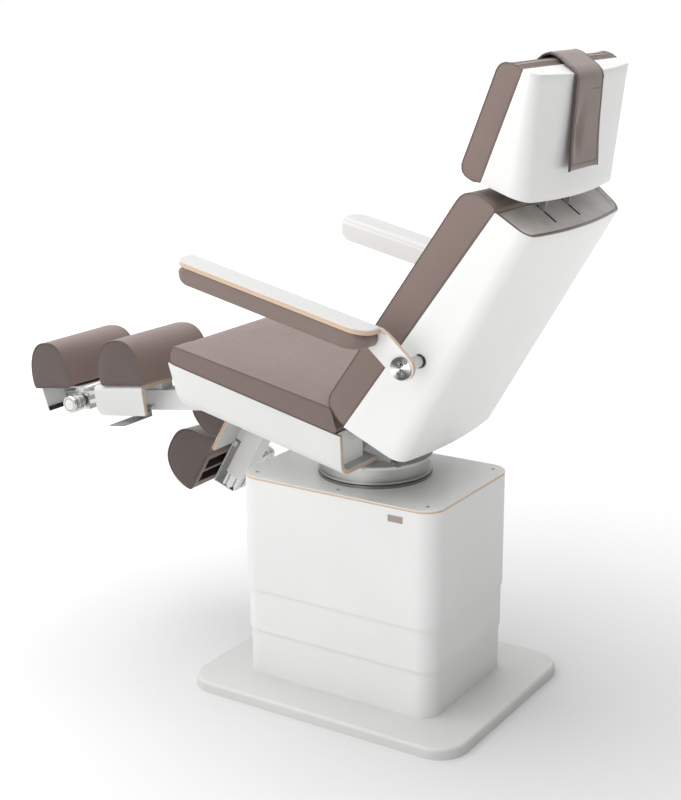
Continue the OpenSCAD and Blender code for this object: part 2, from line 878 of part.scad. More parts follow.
module back_cushion() {
    pull = back_round / 20;
    t = back_cushion_t * 0.86;
    top = back_cushion_t;
    len = back_len;
    end = back_high_round;
    color(c_leather) back_space() rotate([90, 0, 0]) skin([
        back_level(pull, back_end_low + pull, len + end / 2, soft_gap, soft_gap),
        back_level(0, back_end_low + back_low_round / 2, len + end, t * 0.25, top * 0.25),
        back_level(pull / 2, back_low_round, len + end, t * 0.55, top * 0.6),
        back_level(pull / 2, back_low_round * 1.3, len + end / 2, t * 0.8, top * 0.82),
        back_level(pull / 2, back_round * 0.75, len - back_round * 0.7, t * 0.98, top * 0.985),
        back_level(pull * 2, back_round, len - back_round, t * 1.02, top * 1.02),
        back_level(back_round, 2 * back_round, len - 2 * back_round,
            t + back_crown * 0.6, top + back_crown * 0.6),
        back_level(3 * back_round, 4 * back_round, len - 4 * back_round, t + back_crown, top + back_crown)]);
}

// Height along the back of a cross rail, from its share of the frame
function cross_up(share) = upright_low + (upright_top - upright_low - back_cross_h) * share;

module back_frame() {
    color(c_steel) difference() {
        union() {
            back_space() {
                both_sides() {
                    translate([back_plate_x, upright_front, upright_low])
                        cube([upright_t, upright_deep, upright_top - upright_low]);
                    // Hinge plate at the foot of the upright
                    side_plate(back_plate_x, frame_t) {
                        translate([back_hinge_deep, back_hinge_along]) circle(back_ear_r);
                        polygon([[back_hinge_deep - back_ear_r, back_hinge_along],
                            [back_hinge_deep + back_ear_r * 0.7, back_hinge_along - back_ear_r * 0.7],
                            [upright_front + upright_deep, upright_low],
                            [upright_front, upright_low + back_ear_r],
                            [upright_front - back_ear_r, upright_low]]);
                    }
                }
                // Cross rails, and the lugs at their ends that hold the shell
                for (share = cross_shares) {
                    translate([-back_plate_x, upright_front + upright_deep / 4, cross_up(share)])
                        cube([2 * back_plate_x, upright_deep / 2, back_cross_h]);
                    both_sides() translate([back_plate_x + upright_t, upright_front, cross_up(share)])
                        cube([lug_end - back_plate_x - upright_t, lug_deep, back_cross_h]);
                }
            }
            // Lever of the recline drive, from the lowest cross rail down past the hinge line, and its pin
            seat_space() translate([0, -back_hinge_forward, back_hinge_up]) {
                both_sides() side_plate(lever_x, lever_t) {
                    translate([0, -lever_len]) circle(2 * lever_pin_r);
                    polygon([[-2 * lever_pin_r, -lever_len], [2 * lever_pin_r, -lever_len],
                        [5.1 * back_ear_r, 3.2 * back_ear_r], [3.5 * back_ear_r, 4 * back_ear_r],
                        [-1.2 * lever_pin_r, -0.2 * back_ear_r]]);
                }
                translate([0, 0, -lever_len]) rod_between(-lever_x - over, lever_x + over, lever_pin_r);
            }
        }
        back_space() {
            translate([0, back_hinge_deep, back_hinge_along])
                rod_between(-half_w, half_w, back_pin_r + run_fit);
            translate([0, arm_deep, arm_along]) rod_between(-half_w, half_w, arm_shaft_d / 2 + bush_wall);
            translate([0, head_pivot_deep, head_pivot_along])
                rod_between(-half_w, half_w, carriage_r + run_fit);
        }
    }
}

module armrest_bushes() {
    color(c_dark) back_space() both_sides() translate([0, arm_deep, arm_along]) difference() {
        rod_between(back_plate_x - over, wall_x + bush_rim, arm_shaft_d / 2 + bush_wall);
        rod_between(back_plate_x - 2 * over, wall_x + bush_rim + over, arm_shaft_d / 2 + run_fit);
    }
}

// Headrest

module head_carriage() {
    guide_w = rod_w + carriage_r;
    guide_t = rod_t + carriage_r;
    color(c_dark) rod_space() difference() {
        union() {
            rod_between(-back_plate_x - upright_t, back_plate_x + upright_t, carriage_r);
            both_sides() translate([slot_x - guide_t / 2, -guide_w / 2, -guide_w])
                cube([guide_t, guide_w, 2 * guide_w]);
        }
        both_sides() translate([slot_x - rod_t / 2 - run_fit, -rod_w / 2 - run_fit, -2 * guide_w])
            cube([rod_t + 2 * run_fit, rod_w + 2 * run_fit, 4 * guide_w]);
    }
}

module headrest_rods() {
    color(c_steel) rod_space() {
        both_sides() translate([slot_x - rod_t / 2, -rod_w / 2, rod_low])
            cube([rod_t, rod_w, rod_high - rod_low]);
        // Cross plate inside the headrest
        translate([-1.3 * slot_x, bracket_rear - bracket_deep, rod_high - bracket_t])
            cube([2.6 * slot_x, bracket_deep, bracket_t]);
    }
}

function head_section(share, inset) =
    u_section(head_w / 2 - inset / cos(head_taper),
        head_depth_low + (head_depth_high - head_depth_low) * share - inset, head_taper,
        (head_corner_r - inset) * (1 - 0.5 * share), head_bulge);

module headrest_shell() {
    edge = head_w / 2 - ply_t;
    top = head_len - ply_t;
    color(c_white) head_space() difference() {
        skin([lift_section(head_section(0, 0), 0), lift_section(head_section(1, 0), head_len)]);
        // The inside starts straight, so that the open lower rim is one clean outline
        skin([lift_section(open_front(head_section(0, ply_t), edge), -over),
            lift_section(open_front(head_section(0, ply_t), edge), over),
            lift_section(open_front(head_section(top / head_len, ply_t), edge), top)]);
    }
}

module headrest_cushion() {
    t = head_cushion_t;
    pull = head_round / 10;
    function level(side, low, high, share) =
        pad_ring(head_w / 2 - side, low, head_len - high, head_pad_r, t * share, t * share);
    color(c_leather) head_space() rotate([90, 0, 0]) skin([
        level(pull, pull, pull, soft_gap / t),
        level(0, -head_round * 0.35, -head_round * 0.2, 0.28),
        level(pull / 2, -head_round * 0.2, -head_round * 0.15, 0.7),
        level(pull, head_round * 0.25, head_round * 0.35, 0.93),
        level(head_round * 0.6, head_round, head_round * 1.1, 1.04),
        level(head_round * 2, head_round * 2.4, head_round * 2.4, 1.1),
        level(head_round * 5, head_round * 5, head_round * 5, 1.15)]);
}

module neck_strap() {
    rear_depth = head_depth_high + head_bulge;
    rear_slope = (head_depth_low - head_depth_high) / head_len;
    path = concat(
        [for (p = strap_front_shares) [-p[0] * head_cushion_t - strap_lift, p[1] * head_len]],
        [for (p = strap_rear_shares) [p[0] * rear_depth + strap_lift / 3, p[1] * head_len]],
        [for (share = strap_hang_shares)
            [rear_depth + rear_slope * head_len * (1 - share) + strap_lift, share * head_len]]);
    n = len(path);
    function away(i) =
        let (d = path[min(i + 1, n - 1)] - path[max(i - 1, 0)])
        [-d.y, d.x] / norm(d);
    color(c_leather) head_space() skin([for (i = [0:n - 1])
        let (p = path[i], q = p + away(i) * strap_t)
        [[-strap_w / 2, q.x, q.y], [strap_w / 2, q.x, q.y],
            [strap_w / 2, p.x, p.y], [-strap_w / 2, p.x, p.y]]]);
}

// Armrests

// Rear end of an armrest at a height above its pivot: it slopes with the plate's rear edge
function arm_rear_y(z) = arm_end_r * sin(arm_slope) - (z - arm_end_r * cos(arm_slope)) / tan(arm_slope);

// The board seen from above: x outwards from the plate, y rearward
module armrest_outline() {
    rear = -arm_rear_end - arm_rear_r;
    translate([0, arm_front_r - arm_front_end]) square([arm_board_w, arm_len - arm_front_r - arm_rear_r]);
    translate([0, -arm_front_end]) square([arm_board_w - arm_front_r, arm_len - arm_rear_r]);
    translate([arm_board_w - arm_front_r, arm_front_r - arm_front_end]) circle(arm_front_r);
    intersection() {
        translate([arm_board_w - arm_rear_r, rear]) circle(arm_rear_r);
        translate([0, rear - over]) square([arm_board_w, arm_rear_r + 2 * over]);
    }
    translate([0, rear - over]) square([arm_board_w - arm_rear_r, arm_rear_r + over]);
    // The bend runs on rearward, to the plate's sloping edge
    translate([0, -arm_rear_end - over]) square([arm_bend_r, arm_rear_end]);
}

// Cross-section of the top board, the bend and the flange that hangs from it
module armrest_section() {
    translate([arm_bend_r, arm_rise - ply_t]) square([arm_board_w - arm_bend_r, ply_t]);
    translate([0, arm_rise - flange_drop]) square([ply_t, flange_drop - arm_bend_r]);
    translate([arm_bend_r, arm_rise - arm_bend_r]) intersection() {
        difference() {
            circle(arm_bend_r);
            circle(arm_bend_r - ply_t);
        }
        translate([-arm_bend_r, 0]) square(arm_bend_r);
    }
}

module armrest_board(side) {
    low = arm_rise - flange_drop;
    bend_z = arm_rise - arm_bend_r;
    mirror([side < 0 ? 1 : 0, 0, 0]) color(c_white) arm_space() difference() {
        union() {
            intersection() {
                translate([arm_plate_x, 0, 0]) rotate([90, 0, 0])
                    linear_extrude(arm_front_end) armrest_section();
                translate([arm_plate_x, 0, low - over])
                    linear_extrude(flange_drop + 2 * over) armrest_outline();
                side_plate(arm_plate_x - over, arm_board_w + 2 * over) polygon([
                    [-arm_front_end - over, arm_rise + over], [-arm_front_end - over, low - over],
                    [arm_rear_y(low - over), low - over], [arm_rear_y(arm_rise + over), arm_rise + over]]);
            }
            // Plate that runs down to the pivot
            side_plate(arm_plate_x, ply_t) {
                circle(arm_end_r);
                polygon([[-arm_end_r * sin(arm_slope), -arm_end_r * cos(arm_slope)],
                    [arm_end_r * sin(arm_slope), arm_end_r * cos(arm_slope)], [arm_rear_y(bend_z), bend_z],
                    [-arm_rear_end - 2 * arm_rear_r, bend_z], [-arm_rear_end - 2 * arm_rear_r, low],
                    [-arm_rear_end - arm_rear_r / 2, low]]);
            }
        }
        rod_between(arm_plate_x - over, arm_plate_x + ply_t + over, arm_shaft_d / 2 + run_fit);
        // Rounded lower front corner of the flange
        translate([0, -arm_front_end, low]) side_plate(arm_plate_x - over, ply_t + 2 * over) difference() {
            translate([-over, -over]) square(arm_front_r + over);
            translate([arm_front_r, arm_front_r]) circle(arm_front_r);
        }
    }
}

module armrest_pad(side) {
    top = arm_rise - ply_t - soft_gap;
    hw = (arm_board_w - ply_t - soft_gap - arm_pad_inset) / 2;
    mid = arm_plate_x + ply_t + soft_gap + hw;
    fillet = arm_bend_r - ply_t;
    function level(inset, drop) =
        let (edge = arm_pad_inset + inset)
        [for (p = pad_ring(hw - inset, edge - arm_front_end, -arm_rear_end - edge, arm_front_r - edge,
            top - drop, top - drop)) [p.x + mid, p.y, p.z]];
    mirror([side < 0 ? 1 : 0, 0, 0]) color(c_leather) arm_space() skin([
        level(hw * 0.35, arm_pad_t),
        level(hw * 0.12, arm_pad_t * 0.92),
        level(0, arm_pad_t * 0.72),
        level(hw * 0.04, arm_pad_t * 0.4),
        level(0, fillet),
        level(fillet, 0)]);
}

module armrest_shaft(side) {
    mirror([side < 0 ? 1 : 0, 0, 0]) color(c_steel) arm_space()
        rod_between(back_plate_x, arm_plate_x + ply_t, arm_shaft_d / 2);
}

module armrest_disc(side) {
    mirror([side < 0 ? 1 : 0, 0, 0]) color(c_steel) arm_space()
            translate([arm_plate_x + ply_t, 0, 0]) difference() {
        rod_between(0, disc_t, disc_r);
        // Two socket screws, sunk into the disc
        for (s = [-1, 1]) rotate([-disc_screw_turn, 0, 0]) translate([0, 0, s * disc_screw_out]) {
            rod_between(disc_t / 2, disc_t + over, disc_screw_r);
            rod_between(disc_t / 4, disc_t + over, disc_screw_r / 2, $fn = 6);
        }
    }
}

// Leg rests

module leg_arm(side) {
    color(c_white) leg_space(side) translate([leg_x, 0, 0]) difference() {
        union() {
            side_plate(-arm_box_w / 2, arm_box_w) {
                circle(knuckle_r);
                polygon([[-arm_tip, arm_high], [-arm_tip, arm_low + arm_chamfer],
                    [arm_chamfer - arm_tip, arm_low], [arm_rear - knuckle_r, arm_low],
                    [arm_rear, arm_low + knuckle_r], [arm_rear, arm_high - knuckle_r],
                    [knuckle_r, 0], [-knuckle_r, 0], [-knuckle_r - arm_box_h, arm_high]]);
            }
            // Riser that carries the board
            translate([-riser_half, -riser_foot, arm_high])
                cube([2 * riser_half, riser_foot - riser_knee, calf_base - board_t - arm_high]);
            // Lugs and pin of the release lever
            for (u = [paddle_knee - lug_t - slide_gap, paddle_foot + slide_gap])
                translate([0, -u, lever_axis_up]) rotate([90, 0, 0]) linear_extrude(lug_t) {
                    translate([lever_axis_x - leg_x, 0]) circle(lever_barrel_r);
                    translate([arm_box_w / 2 - over, -lever_barrel_r])
                        square([lever_axis_x - leg_x - arm_box_w / 2 + over, 2 * lever_barrel_r]);
                }
            translate([lever_axis_x - leg_x, over - paddle_knee, lever_axis_up]) rotate([90, 0, 0])
                cylinder(h = paddle_foot - paddle_knee + 2 * over, r = lever_pin_small_r);
        }
        rod_between(-arm_box_w, arm_box_w, pin_r + run_fit);
        // Hollow of the box, open at the foot end, for the sliding rail
        translate([arm_box_wall - arm_box_w / 2, -arm_tip - over, arm_low + arm_box_wall])
            cube([arm_box_w - 2 * arm_box_wall, arm_tip + over - rail_inside / 3,
                arm_box_h - 2 * arm_box_wall]);
        // Hole of the clamp shaft
        translate([0, -knob_along, knob_up]) rod_between(0, arm_box_w, knob_shaft_r + run_fit);
    }
}

module leg_board(side) {
    low = calf_base - board_drop;
    out = leg_x + leg_w / 2;
    color(c_white) leg_space(side) intersection() {
        translate([0, -board_knee, 0]) rotate([90, 0, 0]) linear_extrude(board_foot - board_knee) {
            translate([2 * leg_gap, calf_base - board_t]) square([out - board_bend_r - 2 * leg_gap, board_t]);
            translate([out - board_t, low]) square([board_t, board_drop - board_bend_r]);
            translate([out - board_bend_r, calf_base - board_bend_r]) intersection() {
                difference() {
                    circle(board_bend_r);
                    circle(board_bend_r - board_t);
                }
                square(board_bend_r);
            }
        }
        // Outline seen from the side, with a round lower corner at the foot end
        side_plate(0, 2 * leg_x) {
            translate([board_corner_r - board_foot, low])
                square([board_foot - board_knee - board_corner_r, board_drop]);
            translate([-board_foot, low + board_corner_r])
                square([board_foot - board_knee, board_drop - board_corner_r]);
            translate([board_corner_r - board_foot, low + board_corner_r]) circle(board_corner_r);
        }
    }
}

// Profile of a leg cushion seen from the side
function d_profile(mid, len, h, base, bulge, inset) =
    [for (i = [0:profile_n]) let (
        turn = 180 * i / profile_n,
        reach = pow(abs(cos(turn)), 0.72) * sign(cos(turn)),
        rise = pow(sin(turn), 0.86),
        side = len / 2 - inset + bulge * sin(180 * rise))
        [reach * side - mid - cushion_lean * sin(180 * rise) * (1 - 0.35 * rise), base + (h - inset) * rise]];

module leg_cushion(mid, len, h, base, bulge) {
    x0 = leg_gap;
    x1 = leg_gap + leg_w;
    end = cushion_end;
    levels = [[x0, end], [x0 + end / 4, end / 4], [x0 + end, 0], [(x0 + x1) / 2, 0],
        [x1 - end, 0], [x1 - end / 4, end / 4], [x1, end]];
    rotate([90, 0, 90]) skin([for (level = levels)
        [for (p = d_profile(mid, len, h, base + soft_gap, bulge, level[1])) [p.x, p.y, level[0]]]]);
}

module calf_cushion(side) {
    color(c_leather) leg_space(side) leg_cushion(calf_mid, calf_len, calf_h, calf_base, 0);
}

module heel_cushion(side) {
    pocket = (heel_len - 2 * pocket_wall - pocket_rib) / 2;
    color(c_leather) foot_space(side) difference() {
        leg_cushion(heel_mid, heel_len, heel_h, heel_base, heel_bulge);
        // Two pockets under the cushion, with a rib between them
        for (s = [-1, 1]) translate([leg_gap + pocket_wall,
                s * (pocket + pocket_rib) / 2 - heel_mid - pocket / 2, heel_base - over])
            cube([leg_w - 2 * pocket_wall, pocket, pocket_deep + over]);
    }
}

module clamp_bracket(side) {
    arm_side = leg_x + arm_box_w / 2;
    color(c_steel) leg_space(side) difference() {
        union() {
            for (x = [arm_side, bracket_plate_x]) translate([x, -clamp_foot, clamp_low])
                cube([clamp_t, clamp_foot - clamp_knee, clamp_high - clamp_low]);
            translate([arm_side, -clamp_foot, clamp_low])
                cube([bracket_plate_x - arm_side + over, clamp_foot - clamp_knee, clamp_t]);
        }
        translate([0, -knob_along, knob_up])
            rod_between(arm_side - over, bracket_plate_x + clamp_t + over, knob_shaft_r + run_fit);
    }
}

module clamp_knob(side) {
    r = knob_d / 2;
    len = knob_len;
    grip = 0.62 * len;
    color(c_steel) leg_space(side) translate([0, -knob_along, knob_up]) difference() {
        union() {
            rod_between(leg_x + arm_box_w / 2 - arm_box_wall, knob_x + over, knob_shaft_r);
            translate([knob_x, 0, 0]) rotate([0, 90, 0]) rotate_extrude() polygon([[0, 0], [r * 0.7, 0],
                [r * 0.8, len * 0.08], [r * 0.8, len * 0.2], [r, len * 0.26], [r, grip],
                [r * 0.94, grip + over / 2], [r * 0.94, grip + over], [r, grip + 1.5 * over], [r, len * 0.92],
                [r * 0.9, len], [r * 0.72, len], [r * 0.72, len - over], [r * 0.66, len - over],
                [r * 0.66, len], [0, len]]);
        }
        // Finger flutes round the grip
        for (i = [1:knob_flutes]) rotate([360 * i / knob_flutes, 0, 0]) translate([0, 0, r * 1.05])
            rod_between(knob_x + 0.3 * len, knob_x + grip - over, r * 0.1, $fn = 24);
    }
}

module foot_rail(side) {
    w = arm_box_w - 2 * arm_box_wall - 2 * slide_gap;
    h = arm_box_h - 2 * arm_box_wall - 2 * slide_gap;
    notch_front = strip_t - foot_end + foot_plate_t + slide_gap;
    color(c_steel) foot_space(side) translate([leg_x, 0, 0]) difference() {
        translate([0, -rail_inside, arm_low + arm_box_h / 2]) rotate([90, 0, 0])
            linear_extrude(rail_end - rail_inside) difference() {
                square([w, h], center = true);
                for (s = [-1, 1]) {
                    for (y = [-h / 4, h / 4]) translate([s * (w - groove_deep) / 2, y])
                        square([groove_deep + over / 2, groove_w], center = true);
                    translate([0, s * (h - groove_deep) / 2])
                        square([groove_w, groove_deep + over / 2], center = true);
                }
            }
        // Step at the foot end that keeps clear of the rubber strip
        translate([-w, -rail_end - over, arm_low])
            cube([2 * w, rail_end + over + notch_front, foot_low + strip_h + slide_gap - arm_low]);
    }
}

module foot_plate(side) {
    t = foot_plate_t;
    lug = 1.6 * pull_rod_r;
    start = -foot_flange_start;
    under_board = calf_base - board_t - over / 2;
    color(c_white) foot_space(side) {
        side_plate(foot_plate_x, foot_plate_w) polygon([
            [start, foot_flange_up], [t - foot_lip, foot_flange_up],
            [t - foot_end, foot_low], [-foot_end, foot_low], [-foot_lip, foot_flange_up + t],
            [start, foot_flange_up + t]]);
        // Lugs and rod for pulling the foot part out
        for (x = [foot_plate_x, foot_plate_x + foot_plate_w - t]) side_plate(x, t)
            polygon([[start - 2 * lug, foot_flange_up], [start, foot_flange_up], [start, under_board],
                [lug - pull_rod_along, under_board], [lug - pull_rod_along, pull_rod_up - lug],
                [start - lug, pull_rod_up - lug]]);
        translate([0, -pull_rod_along, pull_rod_up])
            rod_between(foot_plate_x, foot_plate_x + foot_plate_w, pull_rod_r);
    }
}

// Rubber strip along the knee side of the plate's lower edge
module foot_strip(side) {
    lean = strip_h * (foot_lip - foot_end) / (foot_flange_up - foot_low);
    near = foot_plate_t - foot_end;
    color(c_dark) foot_space(side) side_plate(foot_plate_x, foot_plate_w) polygon([[near, foot_low],
        [near + strip_t, foot_low], [near + strip_t - lean, foot_low + strip_h],
        [near - lean, foot_low + strip_h]]);
}

module release_lever(side) {
    root = lever_axis_x + lever_barrel_r;
    grip_len = paddle_foot - paddle_knee;
    tip = paddle_tip_x - board_corner_r;
    rib_end = paddle_tip_x - 3 * board_corner_r;
    color(c_steel) leg_space(side) difference() {
        union() {
            translate([lever_axis_x, -paddle_knee, lever_axis_up]) rotate([90, 0, 0])
                cylinder(h = grip_len, r = lever_barrel_r);
            // Web from the barrel down to the paddle, and the paddle with its chamfered tip
            translate([root - paddle_t, -paddle_foot, paddle_up])
                cube([paddle_t, grip_len, lever_axis_up - paddle_up]);
            translate([root - paddle_t, -paddle_foot, paddle_up]) cube([tip - root, grip_len, paddle_t]);
            translate([0, 0, paddle_up]) linear_extrude(paddle_t) polygon([[tip - paddle_t, -paddle_knee],
                [paddle_tip_x - paddle_t, -paddle_knee - over],
                [paddle_tip_x, -paddle_knee - board_corner_r / 2],
                [paddle_tip_x, over - paddle_foot], [paddle_tip_x - over, -paddle_foot],
                [tip - paddle_t, -paddle_foot]]);
            // Stiffening rib along the knee side
            translate([0, -paddle_knee, 0]) rotate([90, 0, 0]) linear_extrude(paddle_t) polygon([
                [root - paddle_t, paddle_up], [root - paddle_t, lever_axis_up],
                [root + lever_barrel_r, lever_axis_up - lever_barrel_r],
                [rib_end, paddle_up + paddle_t], [rib_end, paddle_up]]);
        }
        translate([lever_axis_x, over - paddle_knee, lever_axis_up]) rotate([90, 0, 0])
            cylinder(h = grip_len + 2 * over, r = lever_pin_small_r + run_fit);
    }
}

base_plate();
lower_sleeve();
lift_tube_outer();
middle_sleeve();
lift_tube_middle();
upper_sleeve();
lift_tube_inner();
column_top_plate();
top_plate_screws();
badge_plate();
turntable_base();
turntable_drum();
turntable_flange();
flange_bolts();
tilt_bracket();
tilt_drive();
seat_frame();
seat_shell();
seat_cushion();
hinge_pins();
recline_actuator();
recline_rod();
back_frame();
back_shell();
back_cushion();
back_cap();
armrest_bushes();
head_carriage();
headrest_rods();
headrest_shell();
headrest_cushion();
neck_strap();
armrest_board(1);  // armrest_board_left
armrest_pad(1);  // armrest_pad_left
armrest_shaft(1);  // armrest_shaft_left
armrest_disc(1);  // armrest_disc_left
armrest_board(-1);  // armrest_board_right
armrest_pad(-1);  // armrest_pad_right
armrest_shaft(-1);  // armrest_shaft_right
armrest_disc(-1);  // armrest_disc_right
leg_arm(1);  // leg_arm_left
leg_board(1);  // leg_board_left
calf_cushion(1);  // calf_cushion_left
clamp_bracket(1);  // clamp_bracket_left
foot_rail(1);  // foot_rail_left
foot_plate(1);  // foot_plate_left
foot_strip(1);  // foot_strip_left
heel_cushion(1);  // heel_cushion_left
clamp_knob(1);  // clamp_knob_left
release_lever(1);  // release_lever_left
leg_arm(-1);  // leg_arm_right
leg_board(-1);  // leg_board_right
calf_cushion(-1);  // calf_cushion_right
clamp_bracket(-1);  // clamp_bracket_right
foot_rail(-1);  // foot_rail_right
foot_plate(-1);  // foot_plate_right
foot_strip(-1);  // foot_strip_right
heel_cushion(-1);  // heel_cushion_right
clamp_knob(-1);  // clamp_knob_right
release_lever(-1);  // release_lever_right
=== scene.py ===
"""Looks of the podiatry chair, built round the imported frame.

The world is in metres. Lengths in one of the chair's own spaces are in mm.
"""
from contextlib import contextmanager
from math import atan, copysign, cos, degrees, dist, exp, hypot, pi, radians, sin, sqrt, tanh
import bmesh
import bpy
from mathutils import Matrix, Vector


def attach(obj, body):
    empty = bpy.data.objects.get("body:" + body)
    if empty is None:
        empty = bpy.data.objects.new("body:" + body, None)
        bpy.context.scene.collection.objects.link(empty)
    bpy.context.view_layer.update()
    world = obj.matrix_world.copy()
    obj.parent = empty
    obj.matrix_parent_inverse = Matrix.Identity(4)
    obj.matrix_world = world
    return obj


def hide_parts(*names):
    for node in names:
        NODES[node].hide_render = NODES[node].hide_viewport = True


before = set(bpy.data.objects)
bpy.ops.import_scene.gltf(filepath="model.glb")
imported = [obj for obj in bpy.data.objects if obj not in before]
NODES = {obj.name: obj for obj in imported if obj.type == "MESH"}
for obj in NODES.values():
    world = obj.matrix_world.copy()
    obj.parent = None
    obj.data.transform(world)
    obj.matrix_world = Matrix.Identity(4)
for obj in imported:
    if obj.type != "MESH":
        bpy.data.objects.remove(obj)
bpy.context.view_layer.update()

MM = 0.001
SIDES = ("left", "right")

# Sizes shared with the CAD, in mm
PLY = 13.0
HALF_W, SEAT_LEN, SEAT_WALL = 286.0, 562.0, 104.0
SEAT_FRONT_SLANT, SEAT_REAR_SLANT = 61.0, 26.0
BACK_LEN = 705.0
HEAD_W, HEAD_LEN = 536.0, 276.0
ARM_IN, ARM_W, ARM_TOP = 345.0, 90.0, 80.0
ARM_FRONT, ARM_REAR = -645.0, -72.0
LEG_W, LEG_GAP, LEG_BOARD_T = 264.0, 8.0, 12.0
KNOB_Y, KNOB_Z, KNOB_FACE_X = -412.0, -78.0, 298.0


# ---- spaces

def turn_x(angle):
    return Matrix.Rotation(radians(angle), 4, "X")


def shift(x, y, z):
    return Matrix.Translation((x * MM, y * MM, z * MM))


# How far each part leans back in the photograph, in degrees
SEAT_LEAN, BACK_LEAN, ROD_LEAN, HEAD_LEAN = 12.3, 35.7, 14, 21.4

SEAT = shift(0, 66, 795) @ turn_x(-SEAT_LEAN)
BACK = SEAT @ shift(0, 22, 13) @ turn_x(SEAT_LEAN - BACK_LEAN) @ shift(0, -23, 8)
ROD = BACK @ shift(0, 58, 608) @ turn_x(BACK_LEAN - ROD_LEAN)
HEAD = ROD @ shift(0, -79, 160) @ turn_x(ROD_LEAN - HEAD_LEAN)
ARM = BACK @ shift(0, 56, 283) @ turn_x(BACK_LEAN - SEAT_LEAN)
LEG = {"left": SEAT @ shift(0, -512, -22) @ turn_x(SEAT_LEAN + 8),
       "right": SEAT @ shift(0, -512, -22) @ turn_x(SEAT_LEAN + 60)}
FOOT = {"left": LEG["left"] @ shift(0, -73, 0), "right": LEG["right"]}
MIRROR = Matrix.Scale(-1, 4, (1, 0, 0))
# Profiles drawn as (along, out) are carried to y = -out, z = along
TO_FRONT = Matrix(((1, 0, 0, 0), (0, 0, -1, 0), (0, 1, 0, 0), (0, 0, 0, 1)))


def placed(space, mirror):
    return MIRROR @ space if mirror else space


# ---- materials

class Finish:
    """A material built from nodes; every socket that keeps a plain number is set on the shader itself."""

    def __init__(self, name, rough=0.5, metallic=0.0, coat=0.0, sheen=0.0):
        self.material = bpy.data.materials.new(name)
        self.material.use_nodes = True
        self.tree = self.material.node_tree
        self.shader = self.tree.nodes["Principled BSDF"]
        plain = {"Roughness": rough, "Metallic": metallic, "Coat Weight": coat, "Sheen Weight": sheen}
        for key, value in plain.items():
            self.shader.inputs[key].default_value = value
        self.coords = self.node("ShaderNodeTexCoord").outputs["Object"]

    def node(self, kind, **settings):
        """A new node; the settings are its inputs or its own properties."""
        made = self.tree.nodes.new(kind)
        for key, value in settings.items():
            if key in made.inputs:
                made.inputs[key].default_value = value
            else:
                setattr(made, key, value)
        return made

    def link(self, a, b):
        self.tree.links.new(a, b)

    def put(self, value, socket):
        """Links an output to the socket, or sets the socket's plain value."""
        if isinstance(value, bpy.types.NodeSocket):
            self.link(value, socket)
        else:
            socket.default_value = value

    def calc(self, operation, *values, kind="ShaderNodeMath"):
        """A sum on numbers; the values are outputs or plain numbers."""
        made = self.node(kind, operation=operation)
        for value, socket in zip(values, made.inputs):
            self.put(value, socket)
        return next(output for output in made.outputs if output.enabled)

    def vector_calc(self, operation, *values):
        """A sum on vectors, which gives a vector or a number."""
        return self.calc(operation, *values, kind="ShaderNodeVectorMath")

    def noise(self, scale, detail=3.0, rough=0.5, stretch=(1, 1, 1)):
        mapping = self.node("ShaderNodeMapping", Scale=stretch)
        self.link(self.coords, mapping.inputs["Vector"])
        made = self.node("ShaderNodeTexNoise", Scale=scale, Detail=detail, Roughness=rough)
        self.link(mapping.outputs["Vector"], made.inputs["Vector"])
        return made.outputs["Fac"]

    def ramp(self, value, stops):
        made = self.node("ShaderNodeValToRGB")
        elements = made.color_ramp.elements
        while len(elements) < len(stops):
            elements.new(0.5)
        for element, (place, colour) in zip(elements, stops):
            element.position = place
            element.color = (*colour, 1)
        self.link(value, made.inputs["Fac"])
        return made.outputs["Color"]

    def mottle(self, value, colour, low, high):
        """The colour, made a little darker and lighter by a noise."""
        return self.ramp(value, [(0.3, worn(low, colour)), (0.7, worn(high, colour))])

    def span(self, value, low, high, from_low=0.3, from_high=0.7):
        made = self.node("ShaderNodeMapRange", **{"From Min": from_low, "From Max": from_high,
                                                  "To Min": low, "To Max": high})
        self.link(value, made.inputs["Value"])
        return made.outputs["Result"]

    def mix(self, factor, a, b, blend="MIX"):
        made = self.node("ShaderNodeMix", data_type="RGBA", blend_type=blend)
        self.put(factor, made.inputs[0])
        for colour, socket in ((a, made.inputs[6]), (b, made.inputs[7])):
            self.put((*colour, 1) if isinstance(colour, tuple) else colour, socket)
        return made.outputs[2]

    def colour(self, output):
        self.link(output, self.shader.inputs["Base Color"])

    def rough(self, output):
        self.link(output, self.shader.inputs["Roughness"])

    def bump(self, output, strength, distance, base=None):
        made = self.node("ShaderNodeBump", Strength=strength, Distance=distance)
        self.link(output, made.inputs["Height"])
        if base is not None:
            self.link(base, made.inputs["Normal"])
        return made.outputs["Normal"]

    def normal(self, output):
        self.link(output, self.shader.inputs["Normal"])


def worn(value, colour):
    """A colour made a little lighter or darker."""
    return tuple(min(1.0, c * value) for c in colour)


def leather_finish(name, colour, grain=1.0):
    """Grained leather: soft hollows, and pores about 1.6 mm apart."""
    f = Finish(name, rough=0.5, sheen=0.12)
    f.colour(f.mottle(f.noise(7, 4), colour, 0.965, 1.03))
    f.rough(f.span(f.noise(30, 3), 0.46, 0.56))
    cells = f.node("ShaderNodeTexVoronoi", feature="DISTANCE_TO_EDGE", Scale=620)
    f.link(f.coords, cells.inputs["Vector"])
    pores = f.span(cells.outputs["Distance"], 0.0, 1.0, 0.0, 0.18)
    soft = f.bump(f.noise(11, 2), 0.2, 0.002)
    f.normal(f.bump(pores, 0.22 * grain, 0.00025, soft))
    return f.material


def painted_finish(name, colour, rough=0.42, coat=0.15, peel=0.05, speck=900):
    """Paint or plain laminate; peel is how strong its fine grain is."""
    f = Finish(name, rough=rough, coat=coat)
    f.colour(f.mottle(f.noise(4, 3), colour, 0.975, 1.015))
    f.rough(f.span(f.noise(60, 2), rough - 0.05, rough + 0.06))
    f.normal(f.bump(f.noise(speck, 2), peel, 0.0002))
    return f.material


